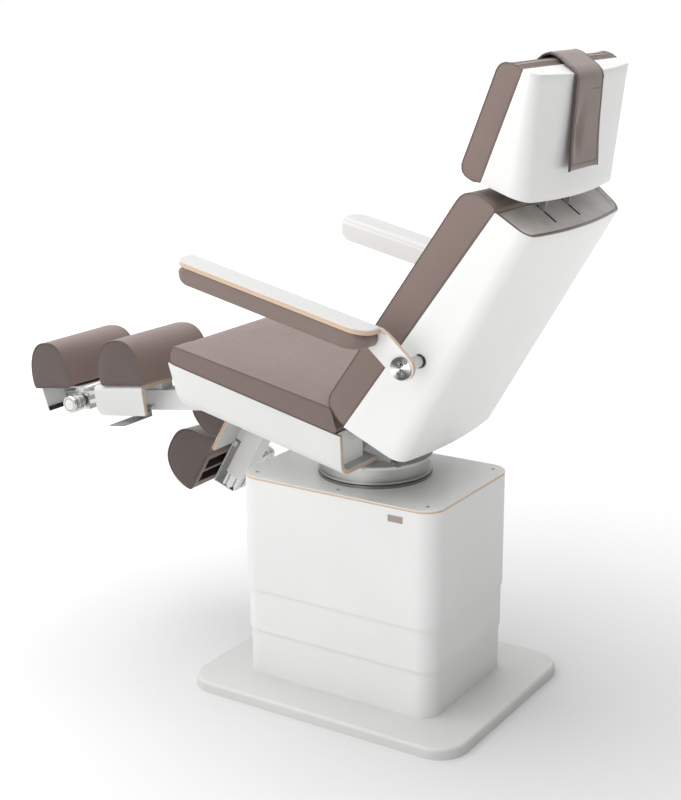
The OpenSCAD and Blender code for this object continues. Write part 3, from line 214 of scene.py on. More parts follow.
def into_space(node, space, mirror=False):
    """The matrix that takes a CAD node's own points into a space of the chair."""
    return placed(space, mirror).inverted() @ NODES[node].matrix_world


PLY_COUNT = 9
PLY_LIGHT, PLY_DARK = (0.70, 0.52, 0.37), (0.50, 0.345, 0.235)


def plies(f, value):
    """The plies across a value that runs from 0 to 1 through the board."""
    wave = f.calc("SINE", f.calc("MULTIPLY", value, PLY_COUNT * pi))
    grain = f.noise(55, 6, 0.6, (1, 7, 7))
    tone = f.mix(f.span(wave, 0, 1, -0.4, 0.4), PLY_DARK, PLY_LIGHT)
    return f.mix(f.span(grain, 0.0, 0.45), tone, worn(0.82, PLY_LIGHT))


def between(f, value, low, high):
    """1 where the value lies between the two faces of a board, with soft ends; each is a pair."""
    return f.calc("MULTIPLY", f.span(value, 0, 1, *low), f.span(value, 1, 0, *high))


def laminate_finish(name, colour=(0.79, 0.795, 0.78), rim=None):
    """White laminate; inside the board, by the attribute ply, its plies or a plain rim."""
    f = Finish(name, rough=0.36, coat=0.25)
    ply = f.node("ShaderNodeAttribute", attribute_name="ply").outputs["Fac"]
    white = f.mottle(f.noise(3.5, 3), colour, 0.975, 1.01)
    wood = plies(f, ply) if rim is None else f.mottle(f.noise(40, 4), rim, 0.9, 1.0)
    f.colour(f.mix(between(f, ply, (0.10, 0.16), (0.84, 0.90)), white, wood))
    f.rough(f.span(f.noise(45, 2), 0.33, 0.42))
    f.normal(f.bump(f.noise(500, 2), 0.04, 0.0002))
    return f.material


def wood_edge_finish(name, node, space, axis, thickness, mirror=False, from_top=True):
    """Edge of a board that stays a CAD node; axis 0, 1 or 2 of the space is the way through the board.
    The board is the node's highest layer that way, or its lowest."""
    f = Finish(name, rough=0.55)
    back = into_space(node, space, mirror)
    ways = [(back @ v.co)[axis] / MM for v in NODES[node].data.vertices]
    low = max(ways) - thickness if from_top else min(ways)
    through = f.vector_calc("DOT_PRODUCT", f.coords, [back[axis][k] / (thickness * MM) for k in range(3)])
    place = f.calc("ADD", through, (back[axis][3] / MM - low) / thickness)
    laminate = (0.70, 0.70, 0.69)
    f.colour(f.mix(between(f, place, (0.01, 0.05), (0.80, 0.87)), laminate, plies(f, place)))
    f.normal(f.bump(f.noise(260, 4), 0.12, 0.0003))
    return f.material


def steel_finish(name, colour=(0.62, 0.62, 0.61), rough=0.28, brushed=(1, 1, 40)):
    f = Finish(name, rough=rough, metallic=1.0)
    streaks = f.noise(14, 5, 0.6, brushed)
    f.colour(f.mottle(streaks, colour, 0.86, 1.1))
    f.rough(f.span(streaks, rough - 0.08, rough + 0.12))
    f.normal(f.bump(streaks, 0.06, 0.0002))
    return f.material


def satin_finish(name, colour, rough):
    """Turned metal: very fine rings, hardly any streaks."""
    f = Finish(name, rough=rough, metallic=1.0)
    rings = f.noise(30, 3, 0.5, (1, 1, 26))
    f.colour(f.mottle(rings, colour, 0.94, 1.05))
    f.rough(f.span(rings, rough - 0.04, rough + 0.06))
    f.normal(f.bump(rings, 0.03, 0.0001))
    return f.material


# Light and dark wedges round the disc's middle: a painted reflection
DISC_PAINTED_SHEEN = [(0.3, (0.10, 0.10, 0.10)), (0.72, (0.34, 0.34, 0.33)), (0.97, (0.85, 0.85, 0.84))]
DISC_SCREWS = ((-3, 11), (14, 18), (4, -12))
SCREW_R = 6 * MM
# From a screw's middle to its rim: bright socket, dark recess, bright rim; the bright rings are painted
# highlights, the dark recess painted shade
SCREW_PAINTED_RINGS = [(0.30, (0.50, 0.50, 0.49)), (0.42, (0.03, 0.03, 0.03)),
               (0.75, (0.06, 0.06, 0.06)), (0.9, (0.6, 0.6, 0.59))]


def disc_finish(name, node, middle):
    """Face-turned disc with three painted screws; a painted sheen of light and dark wedges round its middle
    stands in for its reflections.
    """
    f = Finish(name, rough=0.3, metallic=1.0)
    from_middle = f.vector_calc("SUBTRACT", f.coords, NODES[node].matrix_world.inverted() @ middle)
    split = f.node("ShaderNodeSeparateXYZ")
    f.link(from_middle, split.inputs[0])
    angle = f.calc("ARCTAN2", split.outputs["Z"], split.outputs["Y"])
    wave = f.calc("SINE", f.calc("MULTIPLY_ADD", angle, 2.0, 0.7))
    face = f.ramp(f.span(wave, 0, 1, -1, 1), DISC_PAINTED_SHEEN)
    flat = f.vector_calc("MULTIPLY", from_middle, (0, 1, 1))
    for y, z in DISC_SCREWS:
        away = f.vector_calc("DISTANCE", flat, (0, y * MM, z * MM))
        rings = f.ramp(f.span(away, 0, 1, 0, SCREW_R), SCREW_PAINTED_RINGS)
        face = f.mix(f.span(away, 0, 1, SCREW_R - 0.8 * MM, SCREW_R), rings, face)
    f.colour(face)
    f.rough(f.span(f.noise(300, 2), 0.24, 0.36))
    return f.material


def plastic_finish(name, colour, rough=0.5, speck=1400):
    f = Finish(name, rough=rough)
    f.colour(f.mottle(f.noise(20, 3), colour, 0.88, 1.08))
    f.rough(f.span(f.noise(120, 2), rough - 0.06, rough + 0.08))
    f.normal(f.bump(f.noise(speck, 2), 0.12, 0.0002))
    return f.material


LEATHER = leather_finish("taupe_leather", (0.190, 0.136, 0.119))
# Darker copies of the leather, as painted shade: one for the leg cushions' end panels, one for the seat
# cushion's side panels
SHADED_END_LEATHER = leather_finish("taupe_leather_painted_end_shade", (0.084, 0.058, 0.051))
SHADED_SIDE_LEATHER = leather_finish("taupe_leather_painted_side_shade", (0.160, 0.114, 0.100))
SEAM = leather_finish("seam_leather", (0.105, 0.074, 0.064), 0.4)
SOFT_SEAM = leather_finish("soft_seam_leather", (0.135, 0.096, 0.084), 0.4)
THREAD = leather_finish("thread", (0.16, 0.115, 0.10), 0.4)
DARK_EDGE = leather_finish("strap_edge", (0.060, 0.042, 0.037), 0.4)
STRAP = leather_finish("strap_leather", (0.225, 0.168, 0.150))
# Near-black leather for the faces inside the heel cushions' pockets
POCKET_DARK = leather_finish("pocket_inside_leather", (0.055, 0.040, 0.035), 0.5)
LAMINATE = laminate_finish("white_laminate")
# The seat shell's laminate is darker than the other white laminate: painted shade where the key light falls
# strongly
SEAT_LAMINATE_SHADED = laminate_finish("seat_laminate_painted_shade", (0.67, 0.675, 0.66))
BACK_LAMINATE = laminate_finish("back_laminate", (0.83, 0.835, 0.82), rim=(0.20, 0.14, 0.115))
COLUMN = painted_finish("column_paint", (0.74, 0.745, 0.735))
BASE = painted_finish("base_paint", (0.62, 0.62, 0.61), 0.5, 0.05, 0.14, 700)
WHITE = painted_finish("white_paint", (0.68, 0.68, 0.67), 0.38)
ARM_WHITE = painted_finish("board_laminate", (0.78, 0.78, 0.77), 0.36, 0.25, 0.03)
# The leg boards' laminate is darker than the other white laminate: painted shade where the key light falls
# strongly
LEG_WHITE_SHADED = painted_finish("leg_board_laminate_painted_shade", (0.60, 0.605, 0.59), 0.36, 0.2, 0.03)
# Darker copies of the board's laminate for its top and its bend: painted shade against the light from above
BOARD_TOP_SHADE = painted_finish("board_laminate_painted_top_shade", (0.55, 0.55, 0.545), 0.36, 0.2, 0.03)
BOARD_BEND_SHADE = painted_finish("board_laminate_painted_bend_shade", (0.57, 0.57, 0.565), 0.42, 0.1, 0.03)
# Brighter than the other laminates: painted light that offsets the chair's shadow on the plate
TOP_PLATE_LIT = painted_finish("top_plate_laminate_painted_light", (0.90, 0.90, 0.885), 0.4, 0.15, 0.04)
LEVER = painted_finish("lever_paint", (0.22, 0.22, 0.21), 0.4, 0.1)
FRAME = painted_finish("frame_paint", (0.78, 0.78, 0.77), 0.45)
CAP = plastic_finish("cap_plastic", (0.74, 0.715, 0.69), 0.48)
# Dark plastic; also put on the walls inside the cap's slots as painted shade
DARK_AND_SLOT_SHADE = plastic_finish("dark_plastic", (0.020, 0.020, 0.022), 0.42)
RUBBER = plastic_finish("black_rubber", (0.012, 0.012, 0.013), 0.68)
GREY = plastic_finish("grey_housing", (0.46, 0.46, 0.45))
BADGE = plastic_finish("badge_plate", (0.34, 0.28, 0.255), 0.4)
STEEL = steel_finish("brushed_steel")
DRUM = satin_finish("turned_drum", (0.50, 0.50, 0.49), 0.36)
RING = satin_finish("polished_ring", (0.30, 0.30, 0.30), 0.2)
CHROME = satin_finish("chromed_rods", (0.66, 0.66, 0.66), 0.12)
ZINC = steel_finish("zinc_screws", (0.55, 0.55, 0.54), 0.34, (6, 6, 6))

# The nodes that have one material all over; a name that ends with _ has a node on each side
PLAIN_NODES = (
    (BASE, "base_plate"), (COLUMN, "lower_sleeve middle_sleeve upper_sleeve"), (BADGE, "badge_plate"),
    (STEEL, "lift_tube_outer lift_tube_middle lift_tube_inner hinge_pins recline_rod"),
    (STEEL, "armrest_shaft_ clamp_bracket_ foot_rail_"), (ZINC, "top_plate_screws flange_bolts"),
    (RING, "turntable_base"), (DRUM, "turntable_drum"), (CHROME, "headrest_rods"),
    (WHITE, "turntable_flange tilt_bracket leg_arm_ foot_plate_"), (FRAME, "seat_frame back_frame"),
    (GREY, "tilt_drive recline_actuator"), (DARK_AND_SLOT_SHADE, "armrest_bushes head_carriage"),
    (RUBBER, "foot_strip_"), (LEVER, "release_lever_"))


# ---- finishes of the CAD nodes

def finish_node(node, materials, pick=None, space=None, mirror=False):
    """Gives a CAD node its materials; pick chooses one by a face's middle, in mm, and normal in a space."""
    data = NODES[node].data
    data.materials.clear()
    for material in materials:
        data.materials.append(material)
    if pick:
        back = into_space(node, space, mirror)
        turn = back.to_3x3()
    for polygon in data.polygons:
        polygon.material_index = pick(
            (back @ polygon.center) / MM, (turn @ polygon.normal).normalized()) if pick else 0


def finish_plain_nodes():
    for material, nodes in PLAIN_NODES:
        for node in nodes.split():
            for end in SIDES if node.endswith("_") else ("",):
                finish_node(node + end, [material])


def finish_armrest(side):
    """The board's and the flange's outlines show their plies; the board's top and its bend into the flange
    are painted darker, as painted shade against the strong light from above.
    """
    node, mirror = "armrest_board_" + side, side == "right"
    board_low, flange_out, shaft_r = ARM_TOP - PLY - 1, ARM_IN + PLY + 1, 18

    def pick(c, n):
        in_board = c.z > board_low
        if in_board and abs(n.z) < 0.45 and (n.x > 0.4 or abs(n.y) > 0.4):
            return 1
        in_flange_edge = c.x < flange_out and abs(n.x) < 0.4 and hypot(c.y, c.z) > shaft_r
        if in_flange_edge and not (c.z > 60 and abs(n.z) > 0.9):
            return 2
        # Upward faces of the board get painted shade: 3 on the top, 4 on the bend
        if in_board and n.z > 0.4:
            return 3 if n.z > 0.9 else 4
        return 0

    edge = wood_edge_finish("armrest_edge_" + side, node, ARM, 2, PLY, mirror)
    flange_edge = wood_edge_finish("armrest_flange_edge_" + side, node, ARM, 0, PLY, mirror, from_top=False)
    finish_node(node, (ARM_WHITE, edge, flange_edge, BOARD_TOP_SHADE, BOARD_BEND_SHADE), pick, ARM, mirror)


def finish_leg_board(side):
    """The board's ends, its inner side and its flange's lower edge show their plies."""
    node, mirror = "leg_board_" + side, side == "right"
    flange_low, inner_side = -46, 40

    def pick(c, n):
        if c.z < flange_low and abs(n.x) < 0.4:
            return 2
        return int(abs(n.y) > 0.5 or (n.x < -0.5 and c.x < inner_side))

    edge = wood_edge_finish("leg_board_edge_" + side, node, LEG[side], 2, LEG_BOARD_T, mirror)
    flange_edge = wood_edge_finish("leg_flange_edge_" + side, node, LEG[side], 0, LEG_BOARD_T, mirror)
    finish_node(node, (LEG_WHITE_SHADED, edge, flange_edge), pick, LEG[side], mirror)


def finish_knob(side):
    """White cap in the knob's outer end, with a dark groove round it."""
    cap_r, groove_r = 16.6, 18.2

    def pick(c, n):
        far = hypot(c.y - KNOB_Y, c.z - KNOB_Z)
        if c.x > KNOB_FACE_X - 0.5 and n.x > 0.9 and far < cap_r:
            return 1
        return 2 if c.x > KNOB_FACE_X - 1 and far < groove_r else 0

    finish_node("clamp_knob_" + side, (STEEL, WHITE, DARK_AND_SLOT_SHADE), pick, LEG[side], side == "right")


def finish_disc(side):
    node = "armrest_disc_" + side
    middle = placed(ARM, side == "right") @ Vector((0.3, 0, 0))
    finish_node(node, [disc_finish("turned_disc_" + side, node, middle)])


def finish_cap():
    """The walls inside the cap's two slots are painted dark, as painted shade."""
    slots_end = 150
    finish_node("back_cap", (CAP, DARK_AND_SLOT_SHADE), lambda c, n: int(abs(c.x) < slots_end and abs(n.x) > 0.6), BACK)


def finish_top_plate():
    """The plate's outline shows its plies; its faces are painted brighter than the white laminate, as
    painted light under the chair's shadow.
    """
    node, world, plate_t = "column_top_plate", Matrix.Identity(4), 16
    edge = wood_edge_finish("top_plate_edge", node, world, 2, plate_t)
    finish_node(node, (TOP_PLATE_LIT, edge), lambda c, n: int(abs(n.z) < 0.5), world)


# ---- meshes

def add_object(name, data):
    made = bpy.data.objects.new(name, data)
    bpy.context.scene.collection.objects.link(made)
    return made


def shade(data, smooth=True):
    data.polygons.foreach_set("use_smooth", [smooth] * len(data.polygons))


def add_piece(name, points, faces, material, body, flip=False, smooth=True):
    """A piece from points of the world."""
    data = bpy.data.meshes.new(name)
    data.from_pydata([tuple(p) for p in points], [], faces)
    piece = add_object(name, data)
    if flip:
        data.flip_normals()
    shade(data, smooth)
    data.materials.append(material)
    data.update()
    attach(piece, body)
    return piece


def new_piece(name, verts, faces, space, material, body, mirror=False, smooth=True):
    """A piece from points in mm in a space of the chair."""
    world = placed(space, mirror)
    return add_piece(name, [world @ (Vector(v) * MM) for v in verts], faces, material, body, mirror, smooth)


@contextmanager
def edited(piece):
    """The piece's mesh as a bmesh, written back at the end."""
    bm = bmesh.new()
    bm.from_mesh(piece.data)
    yield bm
    bm.to_mesh(piece.data)
    bm.free()


def face_outwards(piece):
    with edited(piece) as bm:
        bmesh.ops.recalc_face_normals(bm, faces=bm.faces)


def evaluated(piece):
    return piece.evaluated_get(bpy.context.evaluated_depsgraph_get())


def apply_modifiers(piece):
    """Turns a piece's modifiers into its mesh."""
    data = bpy.data.meshes.new_from_object(evaluated(piece))
    old = piece.data
    piece.modifiers.clear()
    piece.data = data
    bpy.data.meshes.remove(old)


def subdivide(piece):
    """One subdivision, shaded smooth."""
    divide = piece.modifiers.new("Subdivision", "SUBSURF")
    divide.levels = divide.render_levels = 1
    apply_modifiers(piece)
    shade(piece.data)


def tube(name, path, radius, material, body, closed=False, sides=8):
    """A round bead swept along points of the world."""
    n = len(path)
    verts, faces = [], []
    up = None
    for i, p in enumerate(path):
        a = path[(i - 1) % n] if closed or i else path[0]
        b = path[(i + 1) % n] if closed or i < n - 1 else path[-1]
        along = (b - a).normalized()
        if up is None:
            up = along.orthogonal().normalized()
        up = (up - along * up.dot(along)).normalized()
        across = along.cross(up)
        for k in range(sides):
            t = 2 * pi * k / sides
            verts.append(p + (up * cos(t) + across * sin(t)) * radius * MM)
    for i in range(n if closed else n - 1):
        for k in range(sides):
            a, b = i * sides + k, i * sides + (k + 1) % sides
            c, d = ((i + 1) % n) * sides + (k + 1) % sides, ((i + 1) % n) * sides + k
            faces.append((a, b, c, d))
    if not closed:
        faces.append(tuple(range(sides))[::-1])
        faces.append(tuple((n - 1) * sides + k for k in range(sides)))
    return add_piece(name, verts, faces, material, body)


# ---- upholstery

def smooth_step(x):
    x = max(0.0, min(1.0, x))
    return x * x * (3 - 2 * x)


def resample(points, count):
    """Points at even spacing along an open line."""
    lengths = [0.0]
    for a, b in zip(points, points[1:]):
        lengths.append(lengths[-1] + dist(a, b))
    out, k = [], 0
    for i in range(count + 1):
        want = lengths[-1] * i / count
        while k < len(points) - 2 and lengths[k + 1] < want:
            k += 1
        span = lengths[k + 1] - lengths[k]
        t = (want - lengths[k]) / span if span else 0
        out.append(tuple(a + (b - a) * t for a, b in zip(points[k], points[k + 1])))
    return out


def arc_points(cy, cz, r, start, end, n=8):
    turns = [radians(start + (end - start) * i / n) for i in range(n + 1)]
    return [(cy + r * cos(turn), cz + r * sin(turn)) for turn in turns]


def corner_inset(far, r):
    """How far a rounded corner of radius r cuts in at a distance from the side."""
    return r - sqrt(max(0.0, r * r - max(0.0, r - far) ** 2))


class Pad:
    """A stuffed cushion: a profile in y and z carried across x, closed by two sewn side panels.

    low and high are the profile's two long sides, from the same end; the cushion rests on low.
    The grid has counts steps along the profile, from low to high, and across from x0 to x1. crown is
    how far the top rises within crown_reach of the sides, side_bulge how far the side panels swell, and
    waist how far they pull in at half height. corners gives the front and rear y and the radii there,
    plan the two ends' y at x1 and at x0, and step the y behind which nothing lies below a z. cap is the
    most that the filling may move a point.
    """

    SEWN_CREASE, SEAM_HOLD, SIDE_PANEL = 0.62, 0.55, 0.86
    CLOTH = {"quality": 5, "mass": 0.4, "use_pressure": True, "uniform_pressure_force": 4.0,
             "tension_stiffness": 25, "compression_stiffness": 25, "shear_stiffness": 12,
             "bending_stiffness": 2.0, "vertex_group_mass": "held", "pin_stiffness": 1.0}

    def __init__(self, name, space, body, low, high, x0, x1, counts, crown=0, side_bulge=0,
                 mirror=False, cap=6, crown_reach=150, waist=0, plan=None, seam=SOFT_SEAM, corners=None,
                 step=None):
        self.name, self.body, self.cap, self.seam = name, body, cap, seam
        self.pockets, self.cross_seams, self.side_shade_leather = None, (), None
        ns, nt, nx = counts
        low, high = resample(low, ns), resample(high, ns)
        index, verts, faces = {}, [], []
        mid_x, half = (x0 + x1) / 2, (x1 - x0) / 2

        def place(i, j, k):
            t = j / nt
            y = low[i][0] + (high[i][0] - low[i][0]) * t
            z = low[i][1] + (high[i][1] - low[i][1]) * t
            share = 2 * k / nx - 1
            share = copysign(1 - (1 - abs(share)) ** 1.25, share)
            x = mid_x + half * share
            if j == nt:
                inside = half * (1 - abs(share))
                lift = 1 - (1 - min(1.0, inside / crown_reach)) ** 2
                z += crown * lift * smooth_step(min(i, ns - i) / ns * 5)
            if k in (0, nx) and 0 < i < ns:
                belly = sin(pi * t) * sin(pi * i / ns) ** 0.5
                x += copysign(side_bulge * belly, share)
            x -= copysign(waist * abs(share) * t * (1 - t) * 4, share)
            if corners:
                front, rear, front_r, rear_r = corners
                first = front + corner_inset(x1 - x, front_r) + corner_inset(x - x0, front_r * 0.5)
                last = rear - corner_inset(x1 - x, rear_r)
                y = first + (y - front) * (last - first) / (rear - front)
            if plan:
                (a0, b0), (a1, b1) = plan
                there = a1 + (y - a0) * (b1 - a1) / (b0 - a0)
                y += (there - y) * (x1 - x) / (x1 - x0)
            if step and y > step[0]:
                z = max(z, step[1])
            return (x, y, z)

        def point(key):
            if key not in index:
                index[key] = len(verts)
                verts.append(place(*key))
            return index[key]

        def quad(*keys):
            faces.append(tuple(point(key) for key in keys))

        for i in range(ns):
            for k in range(nx):
                quad((i, 0, k), (i + 1, 0, k), (i + 1, 0, k + 1), (i, 0, k + 1))
                quad((i, nt, k), (i, nt, k + 1), (i + 1, nt, k + 1), (i + 1, nt, k))
        for j in range(nt):
            for k in range(nx):
                quad((0, j, k), (0, j, k + 1), (0, j + 1, k + 1), (0, j + 1, k))
                quad((ns, j, k), (ns, j + 1, k), (ns, j + 1, k + 1), (ns, j, k + 1))
        for i in range(ns):
            for j in range(nt):
                quad((i, j, 0), (i, j + 1, 0), (i + 1, j + 1, 0), (i + 1, j, 0))
                quad((i, j, nx), (i + 1, j, nx), (i + 1, j + 1, nx), (i, j + 1, nx))
        self.index, self.counts = index, counts
        self.piece = new_piece(name, verts, faces, space, LEATHER, body, mirror)
        face_outwards(self.piece)
        self.loops = []
        for k in (0, nx):
            ring = [(i, nt, k) for i in range(ns + 1)] + [(ns, j, k) for j in range(nt - 1, 0, -1)]
            ring += [(i, 0, k) for i in range(ns, -1, -1)] + [(0, j, k) for j in range(1, nt)]
            self.loops.append([index[key] for key in ring])
        self.rest = [index[key] for key in index if key[1] == 0]
        self.crease()

    def crease(self):
        """Marks the sewn edges of the side panels, which stay crisp under the subdivision."""
        data = self.piece.data
        pairs = {tuple(sorted(pair)) for loop in self.loops for pair in zip(loop, loop[1:] + loop[:1])}
        sharp = data.attributes.new("crease_edge", "FLOAT", "EDGE")
        for edge in data.edges:
            if tuple(sorted(edge.vertices)) in pairs:
                sharp.data[edge.index].value = self.SEWN_CREASE

    def stuff(self):
        """Gives the cushion its cloth, which the simulation then fills."""
        group = self.piece.vertex_groups.new(name="held")
        seams = {v for loop in self.loops for v in loop}
        group.add(self.rest, 1.0, "REPLACE")
        group.add(list(seams - set(self.rest)), self.SEAM_HOLD, "REPLACE")
        cloth = self.piece.modifiers.new("Cloth", "CLOTH")
        for key, value in self.CLOTH.items():
            setattr(cloth.settings, key, value)
        cloth.settings.effector_weights.gravity = 0
        cloth.collision_settings.use_collision = False
        self.before = [v.co.copy() for v in self.piece.data.vertices]

    def settle(self):
        """Keeps the filled shape, with no point moved further than the cap."""
        shown = evaluated(self.piece)
        after = [v.co.copy() for v in shown.to_mesh().vertices]
        shown.to_mesh_clear()
        self.piece.modifiers.clear()
        self.piece.vertex_groups.clear()
        for vertex, a, b in zip(self.piece.data.vertices, self.before, after):
            move = b - a
            far = move.length / (self.cap * MM)
            if far > 1e-6:
                move *= tanh(far) / far
            vertex.co = a + move

    def finish(self):
        """One subdivision, then a welt along each sewn edge, and on the side panels a darker copy of the
        leather that is painted shade.
        """
        subdivide(self.piece)
        points = [v.co.copy() for v in self.piece.data.vertices]
        for n, loop in enumerate(self.loops if self.seam else ()):
            path = [points[v] for v in loop]
            tube("%s_seam_%d" % (self.name, n), path, 1.3, self.seam, self.body, closed=True)
        for i in self.cross_seams:
            path = [points[self.index[i, self.counts[1], k]] for k in range(self.counts[2] + 1)]
            tube("%s_cross_%d" % (self.name, i), path, 1.2, SOFT_SEAM, self.body)
        # Faces turned sideways take the darker leather: painted shade
        if self.side_shade_leather:
            self.piece.data.materials.append(self.side_shade_leather)
            for polygon in self.piece.data.polygons:
                polygon.material_index = int(abs(polygon.normal.x) > self.SIDE_PANEL)
        if self.pockets:
            cut_pockets(self, self.pockets)


PADS = []
# How far the underside of a back, head or leg cushion lies from its board
REST = 0.8


def pad(node, *args, fill=0.75, **kwargs):
    """A cushion in the place of a CAD node."""
    made = Pad(*args, **kwargs)
    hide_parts(node)
    PADS.append(made)
    return made


def flipped(points):
    return [(z, -y) for y, z in points]


def seat_pad():
    front, rear = -SEAT_LEN, -10.0
    low = [(front + 3, 14), (front + 5, 0.6), (rear - 6, 0.6), (rear - 4, 14)]
    high = [(front, 20)] + arc_points(front + 9.5, 41, 9.5, 172, 98, 6)
    high += [(-52, 64)] + arc_points(-48, 55, 9, 82, 20, 5) + [(rear - 10, 20)]
    made = pad("seat_cushion", "seat_upholstery", SEAT, "seat", low, high, -HALF_W + 1, HALF_W - 1,
               (46, 5, 44), crown=9, side_bulge=1.5, cap=5, crown_reach=170, waist=2, seam=SEAM)
    # The seat's side panels get painted shade
    made.side_shade_leather = SHADED_SIDE_LEATHER


def back_pad():
    """The profile is drawn as back space's (y, z), and flipped to TO_FRONT's (along, out)."""
    t_low, t_high = 80.0, 93.0
    end_low, end_high = -2.0, BACK_LEN + 9
    low = [(-14, end_low + 5), (-REST, end_low + 4), (-REST, end_high - 4), (-14, end_high - 3)]
    high = [(-24, end_low + 4)] + arc_points(-t_low + 34, end_low + 46, 34, 270, 186, 8)[:-1]
    high += [(-t_low, 60), (-t_high, BACK_LEN - 60)]
    high += arc_points(-t_high + 40, BACK_LEN - 36, 40, 176, 98, 9) + [(-26, end_high - 1)]
    pad("back_cushion", "back_upholstery", BACK @ TO_FRONT, "back", flipped(low), flipped(high),
        -HALF_W + 1, HALF_W - 1, (58, 6, 44), crown=6, side_bulge=2, cap=5, waist=2.5)


def head_pad():
    t = 62.0
    end_low, end_high = -6.0, HEAD_LEN + 0.5
    low = [(-10, end_low + 5), (-REST, end_low + 5), (-REST, end_high - 4), (-10, end_high - 3)]
    high = [(-16, end_low + 1)] + arc_points(-t + 27, end_low + 29, 27, 262, 186, 8)
    high += arc_points(-t + 26, end_high - 27, 26, 174, 98, 8) + [(-18, end_high)]
    half = HEAD_W / 2 - 1
    made = pad("headrest_cushion", "headrest_upholstery", HEAD @ TO_FRONT, "headrest", flipped(low),
               flipped(high), -half, half, (36, 5, 40), crown=6, side_bulge=2, cap=4, crown_reach=120,
               waist=2)
    made.cross_seams = (34, 36)


def d_top(mid, length, height, base, lean=6.0):
    """Round top of a leg cushion's profile, foot end first; it leans towards that end."""
    top = []
    for i in range(61):
        turn = radians(180 * i / 60)
        c, s = cos(turn), sin(turn)
        reach = copysign(abs(c) ** (0.62 if c > 0 else 0.8), c)
        rise = max(s, 0) ** 0.86
        shift_y = lean * sin(pi * rise) * (1 - 0.35 * rise)
        top.append((-(reach * length / 2) - mid - shift_y, base + height * rise))
    return top


def leg_pad(kind, space, side, body, outer, inner, height, base, step=None):
    """A leg cushion; outer and inner give its foot end and knee end at its two sides."""
    mid, length = -(outer[0] + outer[1]) / 2, outer[1] - outer[0]
    top = d_top(mid, length, height, base + 0.6)
    a, b = top[0][0], top[-1][0]
    low = [(a, base + 8), (a + 4, base + REST), (b - 4, base + REST), (b, base + 8)]
    high = [(a, base + 9)] + [p for p in top if p[1] > base + 8] + [(b, base + 9)]
    made = pad(kind + "_cushion_" + side, kind + "_upholstery_" + side, space, body + side, low, high,
               LEG_GAP + 1, LEG_GAP + LEG_W - 1, (40, 5, 22), side_bulge=2.5, cap=3,
               mirror=side == "right", crown_reach=60, fill=0.85, plan=(outer, inner), step=step)
    # The end panels get a much darker painted shade
    made.side_shade_leather = SHADED_END_LEATHER
    return made


POCKETS = (-449.0, -399.0)
POCKET_HALF = 19.5
POCKET_FACES = ((0, 1, 3, 2), (4, 6, 7, 5), (0, 4, 5, 1), (2, 3, 7, 6), (0, 2, 6, 4), (1, 5, 7, 3))


def cut_pockets(made, side):
    """The two hollows under a heel cushion, with a rib between them."""
    verts, faces = [], []
    for middle in POCKETS:
        faces += [tuple(len(verts) + k for k in face) for face in POCKET_FACES]
        for z in (-40.0, -4.0):
            for y in (middle - POCKET_HALF, middle + POCKET_HALF):
                verts += [(26, y, z), (254, y, z)]
    cutter = new_piece("pocket_cutter", verts, faces, FOOT[side], POCKET_DARK, made.body, side == "right", False)
    face_outwards(cutter)
    cut = made.piece.modifiers.new("Pockets", "BOOLEAN")
    cut.operation = "DIFFERENCE"
    cut.solver = "EXACT"
    # The pocket walls take the cutter's near-black leather
    cut.material_mode = "TRANSFER"
    cut.object = cutter
    apply_modifiers(made.piece)
    bpy.data.objects.remove(cutter)


def arm_pad(side):
    """Pad under an armrest's board, with rounded outer corners and no welt."""
    top, thick = ARM_TOP - PLY - 0.6, 43.0
    rear, front = ARM_REAR - 4, ARM_FRONT + 4
    low = [(front + 2, top - 12), (front + 12, top), (rear - 10, top), (rear - 1, top - 12)]
    high = [(front, top - 16)] + arc_points(front + 24, top - thick + 22, 22, 188, 262, 6)
    high += arc_points(rear - 20, top - thick + 20, 20, 278, 352, 6) + [(rear, top - 16)]
    pad("armrest_pad_" + side, "armrest_upholstery_" + side, ARM, "armrest_" + side, low, high,
        ARM_IN + PLY + 1.4, ARM_IN + ARM_W - 3.5, (64, 5, 18), crown=-2, side_bulge=1.0, cap=2.5,
        mirror=side == "right", crown_reach=30, fill=0.8, corners=(front - 5, rear, 22, 44), seam=None)


# ---- bent shells

def u_section(w, d, taper, r, bulge, n=18):
    """A U of points from one front edge round to the other: half width, depth, the sides' taper in
    degrees, the corners' radius, and how far the rear swells."""
    t = radians(taper)
    cy = d - r
    cx = w - (r + cy * sin(t)) / cos(t)
    last = 90 - degrees(atan(2 * bulge / cx))
    bend = arc_points(cx, cy, r, taper, last, n)
    (x, y), tip = bend[0], bend[-1]
    half = [(w + (x - w) * i / 6, y * i / 6) for i in range(6)] + bend
    half += [(tip[0] * (1 - i / n), tip[1] + bulge * (1 - (1 - i / n) ** 2)) for i in range(1, n + 1)]
    return half + [(-x, y) for x, y in half[-2::-1]]


def board(piece, thickness, bevel):
    """Gives a sheet its thickness, softens its edges, and marks where each point lies through the board."""
    solid = piece.modifiers.new("Board", "SOLIDIFY")
    solid.thickness = thickness * MM
    solid.offset = -1
    solid.use_even_offset = True
    piece.vertex_groups.new(name="inner")
    solid.shell_vertex_group = "inner"
    apply_modifiers(piece)
    depth = piece.data.attributes.new("ply", "FLOAT", "POINT")
    for v in piece.data.vertices:
        depth.data[v.index].value = sum(g.weight for g in v.groups)
    piece.vertex_groups.clear()
    soften = piece.modifiers.new("Edges", "BEVEL")
    soften.width = bevel * MM
    soften.segments = 2
    soften.limit_method = "ANGLE"
    soften.angle_limit = radians(50)
    apply_modifiers(piece)
    shade(piece.data)
    with edited(piece) as bm:
        for edge in bm.edges:
            edge.smooth = not (len(edge.link_faces) == 2 and edge.calc_face_angle(0) > radians(38))


def grid_faces(rows, columns, skip=()):
    return [(r * columns + c, r * columns + c + 1, (r + 1) * columns + c + 1, (r + 1) * columns + c)
            for r in range(rows - 1) for c in range(columns - 1) if (r, c) not in skip]


